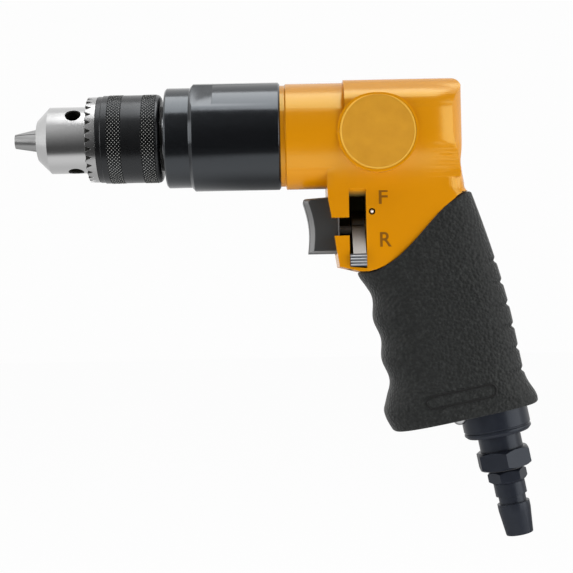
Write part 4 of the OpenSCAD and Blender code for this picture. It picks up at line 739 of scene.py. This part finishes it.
# Grip: a black rubber sleeve moulded over the handle, with shallow finger waves in front and
# notches down the back. Its upper edge sweeps up the casing's side, and its skin is pebbled.
LEAN = math.radians(11)
BASE = Vector((186.1, -114.9))
LIP = Vector((131.3, -57.0))
CROWN = Vector((178.2, -24.6))
GRIP_COLUMNS = 144
GRIP_RINGS = 190
GRIP_POWER = 3.2
GRIP_FRONT = 40.1
GRIP_REAR = 15.0
GRIP_HALF_W = 16.8
WAVE_DEPTH = 0.75
WAVE_PITCH = 17.0
WAVE_START = 21.3
WAVE_FADE_IN = (10.0, 17.0)
WAVE_FADE_OUT = (57.0, 62.0)
LIP_OUT = 3.0
LIP_SPAN = (58.0, 67.0)
FOOT_AT = 8.0
FOOT_OUT = 4.3
FOOT_SIDE_OUT = 0.8
FOOT_BELOW = 10.0
FOOT_ABOVE = 6.0
HEEL_AT = 2.0
HEEL_OUT = 3.4
HEEL_SPREAD = 6.5
TAPER_SPAN = (35.0, 90.0)
TAPER_REAR = 5.6
TAPER_SIDE = 1.2
NOTCH_DEPTH = 1.05
NOTCH_HALF_W = 1.4
NOTCH_PITCH = 9.2
NOTCH_START = 14.3
NOTCH_COUNT = 6
NOTCH_FADE = (0.2, 0.7)
COLLAR_ROOM = 13.9
BOTTOM_ROUND = 1.0
RIM_ROUND = 0.8
RIM_DROP = 0.05
RUBBER_T = 2.9


def bell(offset):
    return math.exp(-offset * offset)


def on_handle(depth, side, height):
    return Vector((
        BASE.x + depth * math.cos(LEAN) - height * math.sin(LEAN),
        side,
        BASE.y + depth * math.sin(LEAN) + height * math.cos(LEAN),
    ))


def grip_point(turn, height, draw=0.0):
    """A point of the rubber's skin, drawn in by a rounding."""
    wave = WAVE_DEPTH * math.cos(2 * math.pi * (height - WAVE_START) / WAVE_PITCH)
    wave *= smooth_over(WAVE_FADE_IN, height) * (1 - smooth_over(WAVE_FADE_OUT, height))
    over_foot = height - FOOT_AT
    foot = FOOT_OUT * bell(over_foot / (FOOT_BELOW if over_foot < 0 else FOOT_ABOVE))
    front = wave - GRIP_FRONT - foot - LIP_OUT * smooth_over(LIP_SPAN, height) + draw
    heel = HEEL_OUT * bell((height - HEEL_AT) / HEEL_SPREAD)
    taper = max(0.0, part_of(TAPER_SPAN, height))
    rear = GRIP_REAR + heel - TAPER_REAR * taper ** 1.6 - draw
    side = GRIP_HALF_W - TAPER_SIDE * smooth_step(taper) - draw
    side += FOOT_SIDE_OUT * bell(over_foot / FOOT_ABOVE)
    over_notches = height - NOTCH_START
    nearest = max(0, min(NOTCH_COUNT - 1, round(over_notches / NOTCH_PITCH)))
    notch = NOTCH_DEPTH * max(0.0, 1 - abs(over_notches - nearest * NOTCH_PITCH) / NOTCH_HALF_W)
    notch *= smooth_over(NOTCH_FADE, math.cos(turn))
    across = math.copysign(abs(math.sin(turn)) ** (2 / GRIP_POWER), math.sin(turn))
    deep = math.copysign(abs(math.cos(turn)) ** (2 / GRIP_POWER), math.cos(turn))
    return on_handle((front + rear) / 2 + (rear - front) / 2 * deep - notch, side * across, height)


def edge_height(x):
    """The height of the rubber's upper edge."""
    share = max(0.0, min(1.0, (x - LIP.x) / (CROWN.x - LIP.x))) ** 1.15
    return LIP.y + (CROWN.y - LIP.y) * smooth_step(share)


turns = [2 * math.pi * i / GRIP_COLUMNS for i in range(GRIP_COLUMNS)]
tops = []
for turn in turns:
    low, high = 20.0, 110.0
    for _ in range(40):
        middle = (low + high) / 2
        spot = grip_point(turn, middle)
        if spot.z < edge_height(spot.x):
            low = middle
        else:
            high = middle
    tops.append(low)
rings = [
    [on_handle(radius * math.cos(t), radius * math.sin(t), height) for t in turns]
    for radius, height in ((COLLAR_ROOM, 2.5), (COLLAR_ROOM, 0.3), (COLLAR_ROOM + 0.3, 0.0))
]
for swing in (math.radians(15 * step) for step in range(7)):
    rise, draw = BOTTOM_ROUND * (1 - math.cos(swing)), BOTTOM_ROUND * (1 - math.sin(swing))
    rings.append([grip_point(t, rise, draw) for t in turns])
shoulders = [top - RIM_DROP - RIM_ROUND for top in tops]
for share in (step / GRIP_RINGS for step in range(1, GRIP_RINGS)):
    rings.append([
        grip_point(t, BOTTOM_ROUND + (shoulder - BOTTOM_ROUND) * share)
        for t, shoulder in zip(turns, shoulders)
    ])
for swing in (math.radians(18 * step) for step in range(6)):
    rise, draw = RIM_ROUND * math.sin(swing), RIM_ROUND * (1 - math.cos(swing))
    rings.append([grip_point(t, shoulder + rise, draw) for t, shoulder in zip(turns, shoulders)])
rings.append([grip_point(t, top - RIM_DROP, RUBBER_T) for t, top in zip(turns, tops)])
grip = lofted(rings)
bmesh.ops.recalc_face_normals(grip, faces=grip.faces)
rubber = Finish(
    "pebbled_rubber", (0.008, 0.0084, 0.008), 0.6,
    Specular_IOR_Level=0.31, Sheen_Weight=0.12, Sheen_Roughness=0.4,
)
pebble = rubber.node(
    "ShaderNodeTexVoronoi", {"feature": "SMOOTH_F1"},
    {"Vector": rubber.place, "Scale": 760.0, "Smoothness": 0.25, "Randomness": 1.0},
)
dust = rubber.noise(rubber.place, 720.0, 4.0, 0.7)
rubber.shade(dust.ramp(0.42, 0.72), (0.0036, 0.0043, 0.004, 1), (0.0155, 0.0172, 0.0163, 1))
rubber.feed("Roughness", dust * 0.15 + 0.52)
rubber.relief(1 - pebble + dust * 0.3, 0.00045, 0.9)
skin = BVHTree.FromBMesh(grip)
piece(grip, "grip_rubber_sleeve", rubber, "housing", "grip_rubber", "grip_sleeve")

# Panel bead: a thin raised line moulded round a long panel low on the grip's left side.
# It is the grip's own rubber, smooth where the skin around it is pebbled.
PANEL_AT = (-13.6, 9.6)
PANEL_STRAIGHT = 11.75
PANEL_ROUND = 2.5
BEAD_R = 0.42
bead_path = []
for way, quarter in ((1, math.pi / 2), (-1, 3 * math.pi / 2)):
    bead_path += [(way * PANEL_STRAIGHT * (1 - i / 12), quarter) for i in range(24)]
    bead_path += [(-way * PANEL_STRAIGHT, quarter + math.pi * i / 20) for i in range(20)]
bead_rings = []
for middle, turn in bead_path:
    spot = on_handle(
        PANEL_AT[0] + middle + PANEL_ROUND * math.cos(turn), 0,
        PANEL_AT[1] + PANEL_ROUND * math.sin(turn),
    )
    above = Vector((spot.x / 1000, -0.05, spot.z / 1000))
    spot.y = skin.ray_cast(above, (0, 1, 0))[0].y * 1000
    outward = Vector((math.cos(turn + LEAN), 0, math.sin(turn + LEAN)))
    bead_rings.append([
        spot + BEAD_R * (math.cos(a) * Vector((0, -1, 0)) + math.sin(a) * outward)
        for a in (math.pi * i / 4 for i in range(8))
    ])
bead = lofted(bead_rings + bead_rings[:1])
bmesh.ops.remove_doubles(bead, verts=bead.verts, dist=1e-7)
bmesh.ops.recalc_face_normals(bead, faces=bead.faces)
# The bead is darker than the grip's rubber, as a painted shade line round the panel.
bead_rubber = Finish("smooth_rubber", (0.0015, 0.0015, 0.0015), 0.5, Specular_IOR_Level=0.3)
bead_bloom = bead_rubber.noise(bead_rubber.place, 900.0, 2.0)
bead_rubber.feed("Roughness", bead_bloom * 0.2 + 0.42)
piece(bead, "grip_panel_bead", bead_rubber, "housing", "grip_rubber")

# Base screw: a small domed steel screw, driven from below, that holds the rubber to the handle.
# It is bright all over, like the chuck.
HEAD_HALF_H = 0.0015
HEAD_GROWTH = 1.18
screw = eased("base_screw", 0.0001)
screw_low, screw_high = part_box("base_screw")
head_middle = (screw_low + screw_high) / 2
head_middle.z = screw_low.z + HEAD_HALF_H
for vert in screw.verts:
    if vert.co.z < head_middle.z + HEAD_HALF_H:
        vert.co = head_middle + (vert.co - head_middle) * HEAD_GROWTH
piece(screw, "base_screw_head", bright_steel, "housing", "bright_steel", "base_screw")

# Air inlet: the exhaust collar round the bottom of the handle, the hexagon bushing and the
# quick plug, machined from steel bar and chemically blackened.
blackened = Finish(
    "blackened_fitting", (0.012, 0.0135, 0.018), 0.3,
    Specular_IOR_Level=0.25, Specular_Tint=(0.85, 0.92, 1, 1),
)
worn = blackened.noise(blackened.place, 300.0, 4.0, 0.65)
blackened.shade(worn, (0.009, 0.0105, 0.0155, 1), (0.014, 0.016, 0.0225, 1))
blackened.feed("Roughness", worn * 0.14 + 0.24)
PLUG_STEPS = ((0.0, 0.0), (25.0, 25.0), (29.9, 30.6), (35.2, 35.9), (38.2, 39.2), (52.4, 52.4))
HEXAGON_TURN = math.radians(12)
INLET_ORIGIN = on_handle(0, 0, 0) / 1000
INLET_AXIS = Vector((math.sin(LEAN), 0, -math.cos(LEAN)))
for node, width in (("exhaust_collar", 0.00025), ("inlet_bushing", 0.0002), ("quick_plug", 0.0002)):
    fitting = eased(node, width)
    if node == "inlet_bushing":
        bmesh.ops.rotate(
            fitting, cent=INLET_ORIGIN, verts=fitting.verts,
            matrix=Matrix.Rotation(HEXAGON_TURN, 3, INLET_AXIS),
        )
    if node == "quick_plug":
        for vert in fitting.verts:
            down = (vert.co - INLET_ORIGIN).dot(INLET_AXIS) * 1000
            for (low, new_low), (high, new_high) in zip(PLUG_STEPS, PLUG_STEPS[1:]):
                if low <= down <= high:
                    moved = new_low + (new_high - new_low) * (down - low) / (high - low)
                    vert.co += INLET_AXIS * (moved - down) / 1000
                    break
    piece(fitting, f"{node}_blackened", blackened, "housing", "black_fitting", node)

# Direction marks: an F and an R printed in dark ink beside the reverse lever's two positions.
# The ink lies on the casing's side as a thin film.
ink = Finish("dark_ink", (0.19, 0.072, 0.002), 0.5, Specular_IOR_Level=0.15)
ink_edge = ink.noise(ink.place, 3000.0, 2.0)
ink.shade(ink_edge, (0.17, 0.066, 0.0015, 1), (0.22, 0.085, 0.0025, 1))
INK_UNDER = 0.00003
INK_OVER = 0.00005
MARKS = (("F", 139.3, -29.7, 5.7, 1.15), ("R", 139.5, -47.0, 5.9, 1.0))
packed_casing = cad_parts["motor_housing"].data
side_wall = BVHTree.FromPolygons(
    [v.co for v in packed_casing.vertices], [p.vertices for p in packed_casing.polygons]
)
for letter, left, low, tall, wide in MARKS:
    writing = bpy.data.curves.new(f"mark_{letter}", "FONT")
    writing.body = letter
    writing.offset = 0.012
    written = bpy.data.objects.new(f"mark_{letter}_writing", writing)
    bpy.context.collection.objects.link(written)
    bpy.context.view_layer.update()
    printed = bmesh.new()
    printed.from_mesh(written.to_mesh())
    written.to_mesh_clear()
    bpy.data.objects.remove(written)
    bpy.data.curves.remove(writing)
    bmesh.ops.remove_doubles(printed, verts=printed.verts, dist=1e-5)
    lowest = [min(v.co[i] for v in printed.verts) for i in range(2)]
    grown = tall / 1000 / (max(v.co.y for v in printed.verts) - lowest[1])
    for vert in printed.verts:
        along, up = vert.co.x - lowest[0], vert.co.y - lowest[1]
        vert.co = (left / 1000 + along * grown * wide, -0.05, low / 1000 + up * grown)
    for step in range(1, 8):
        sliced(printed, (0, 0, (low + tall * step / 8) / 1000), (0, 0, 1))
    for vert in printed.verts:
        vert.co.y = side_wall.ray_cast(vert.co, (0, 1, 0))[0].y - INK_OVER
    raised = bmesh.ops.extrude_face_region(printed, geom=printed.faces[:])["geom"]
    bmesh.ops.translate(
        printed, vec=(0, INK_OVER + INK_UNDER, 0),
        verts=[v for v in raised if isinstance(v, bmesh.types.BMVert)],
    )
    bmesh.ops.recalc_face_normals(printed, faces=printed.faces)
    piece(printed, f"direction_mark_{letter}", ink, "housing", "trigger_plastic")

# Studio: a pale floor, an overhead soft box, two side soft boxes, a low fill and a white room.
# The room is darker in front, as behind a photographer, and the floor keeps the shadow.
FLOOR_HALF_SIZE = (2.6, 1.7, 1)
FLOOR_AT = (0.1, 1.25, -0.25)
floor = bmesh.new()
bmesh.ops.create_grid(floor, x_segments=1, y_segments=1, size=1.0)
bmesh.ops.scale(floor, vec=FLOOR_HALF_SIZE, verts=floor.verts)
bmesh.ops.translate(floor, vec=FLOOR_AT, verts=floor.verts)
floor_mesh = bpy.data.meshes.new("studio_floor")
floor.to_mesh(floor_mesh)
floor.free()
floor_object = bpy.data.objects.new("studio_floor", floor_mesh)
bpy.context.collection.objects.link(floor_object)
floor_material = bpy.data.materials.new("pale_floor")
floor_material.use_nodes = True
pale = Tree(floor_material.node_tree)


def ray_kinds(tree):
    """Wires that are one for rays from the lens, mirrored rays and rays through glass."""
    kinds = tree.node("ShaderNodeLightPath").socket.node.outputs
    names = ("Is Camera Ray", "Is Glossy Ray", "Is Transmission Ray")
    return [Wire(tree, kinds[name]) for name in names]


def parted(tree, output):
    """The three parts of a place or a direction."""
    place = tree.node("ShaderNodeTexCoord", output=output)
    parts = tree.node("ShaderNodeSeparateXYZ", values={0: place}).socket.node.outputs
    return [Wire(tree, parts[i]) for i in range(3)]


from_lens, mirrored, through = ray_kinds(pale)
shown = (from_lens + mirrored + through).least(1.0)
lit = pale.node("ShaderNodeBsdfDiffuse", values={"Color": (0.82, 0.82, 0.82, 1)})
floor_x, floor_y, _ = parted(pale, "Object")
# For mirrored rays the floor's glow is lowered behind the object as a painted shadow, and lowered
# in front of it like the room.
painted_floor_shadow = floor_y.ramp(-0.08, 0.1) * (floor_x.ramp(0.02, 0.08) * 0.5 + 0.2)
in_front = 1 - (floor_y + floor_x.most(-0.05).least(0.09) * 0.8).ramp(-0.26, -0.15)
floor_level = 1 - mirrored * (painted_floor_shadow + in_front * 0.92).least(1.0)
glow = pale.node("ShaderNodeEmission", values={"Color": (1, 1, 1, 1), "Strength": floor_level})
surface = pale.node("ShaderNodeMixShader", values={0: shown * 0.97, 1: lit, 2: glow})
pale.node("ShaderNodeOutputMaterial", values={"Surface": surface})
floor_mesh.materials.append(floor_material)

room = bpy.data.worlds.new("studio_room")
bpy.context.scene.world = room
room.use_nodes = True
walls = Tree(room.node_tree)
from_lens, mirrored, through = ray_kinds(walls)
seen = (from_lens + through).least(1.0)
way_x, way_y, way_z = parted(walls, "Generated")
in_front = (0 - way_y).ramp(-0.1, 0.3)
upper_light = way_z.ramp(0.0, 0.8) * 0.14 + way_z.ramp(0.86, 0.97) * 0.5
left_light = (0 - way_x).ramp(0.135, 0.155) * (way_z.ramp(-0.7, 0.9) * 0.8 + 0.02)
mirror_light = in_front * (0.06 + upper_light + left_light) + (1 - in_front)
level = seen * 0.983 + (1 - seen) * (mirrored * mirror_light + (1 - mirrored) * 0.18)
glow = walls.node("ShaderNodeBackground", values={"Color": (1, 1, 1, 1), "Strength": level})
walls.node("ShaderNodeOutputWorld", values={"Surface": glow})

for name, spot, aim, size, power, in_mirrors in (
    ("overhead_box", (0.21, -0.185, 0.75), (0.21, -0.185, 0.0), (0.58, 0.73), 5.1, True),
    ("left_box", (-0.8, -0.35, 0.12), (0.1, 0.0, -0.04), (0.75, 0.5), 4.1, True),
    ("right_box", (0.88, -0.42, 0.02), (0.1, 0.0, -0.03), (0.8, 0.8), 6.4, True),
    ("lower_fill", (0.1, -0.14, -0.24), (0.1, -0.1, 0.0), (0.6, 0.2), 0.9, False),
):
    lamp = bpy.data.lights.new(name, "AREA")
    lamp.shape = "RECTANGLE"
    lamp.size, lamp.size_y = size
    lamp.energy = power
    stand = bpy.data.objects.new(name, lamp)
    stand.location = spot
    stand.visible_glossy = in_mirrors
    stand.rotation_euler = (Vector(aim) - Vector(spot)).to_track_quat("-Z", "Y").to_euler()
    bpy.context.collection.objects.link(stand)

CAMERA_AT = (0.1013, -0.55, -0.0623)
CAMERA_UP = Vector((0.02007, 0, 0.9998))
lens = bpy.data.cameras.new("camera")
lens.lens = 83.26
lens.sensor_width = 36.0
lens.clip_start = 0.01
camera = bpy.data.objects.new("camera", lens)
right = Vector((0, 1, 0)).cross(CAMERA_UP)
aimed = Matrix((right, CAMERA_UP, (0, -1, 0))).transposed()
camera.matrix_world = Matrix.Translation(CAMERA_AT) @ aimed.to_4x4()
bpy.context.collection.objects.link(camera)
bpy.context.scene.camera = camera
bpy.context.scene.view_settings.view_transform = "Standard"
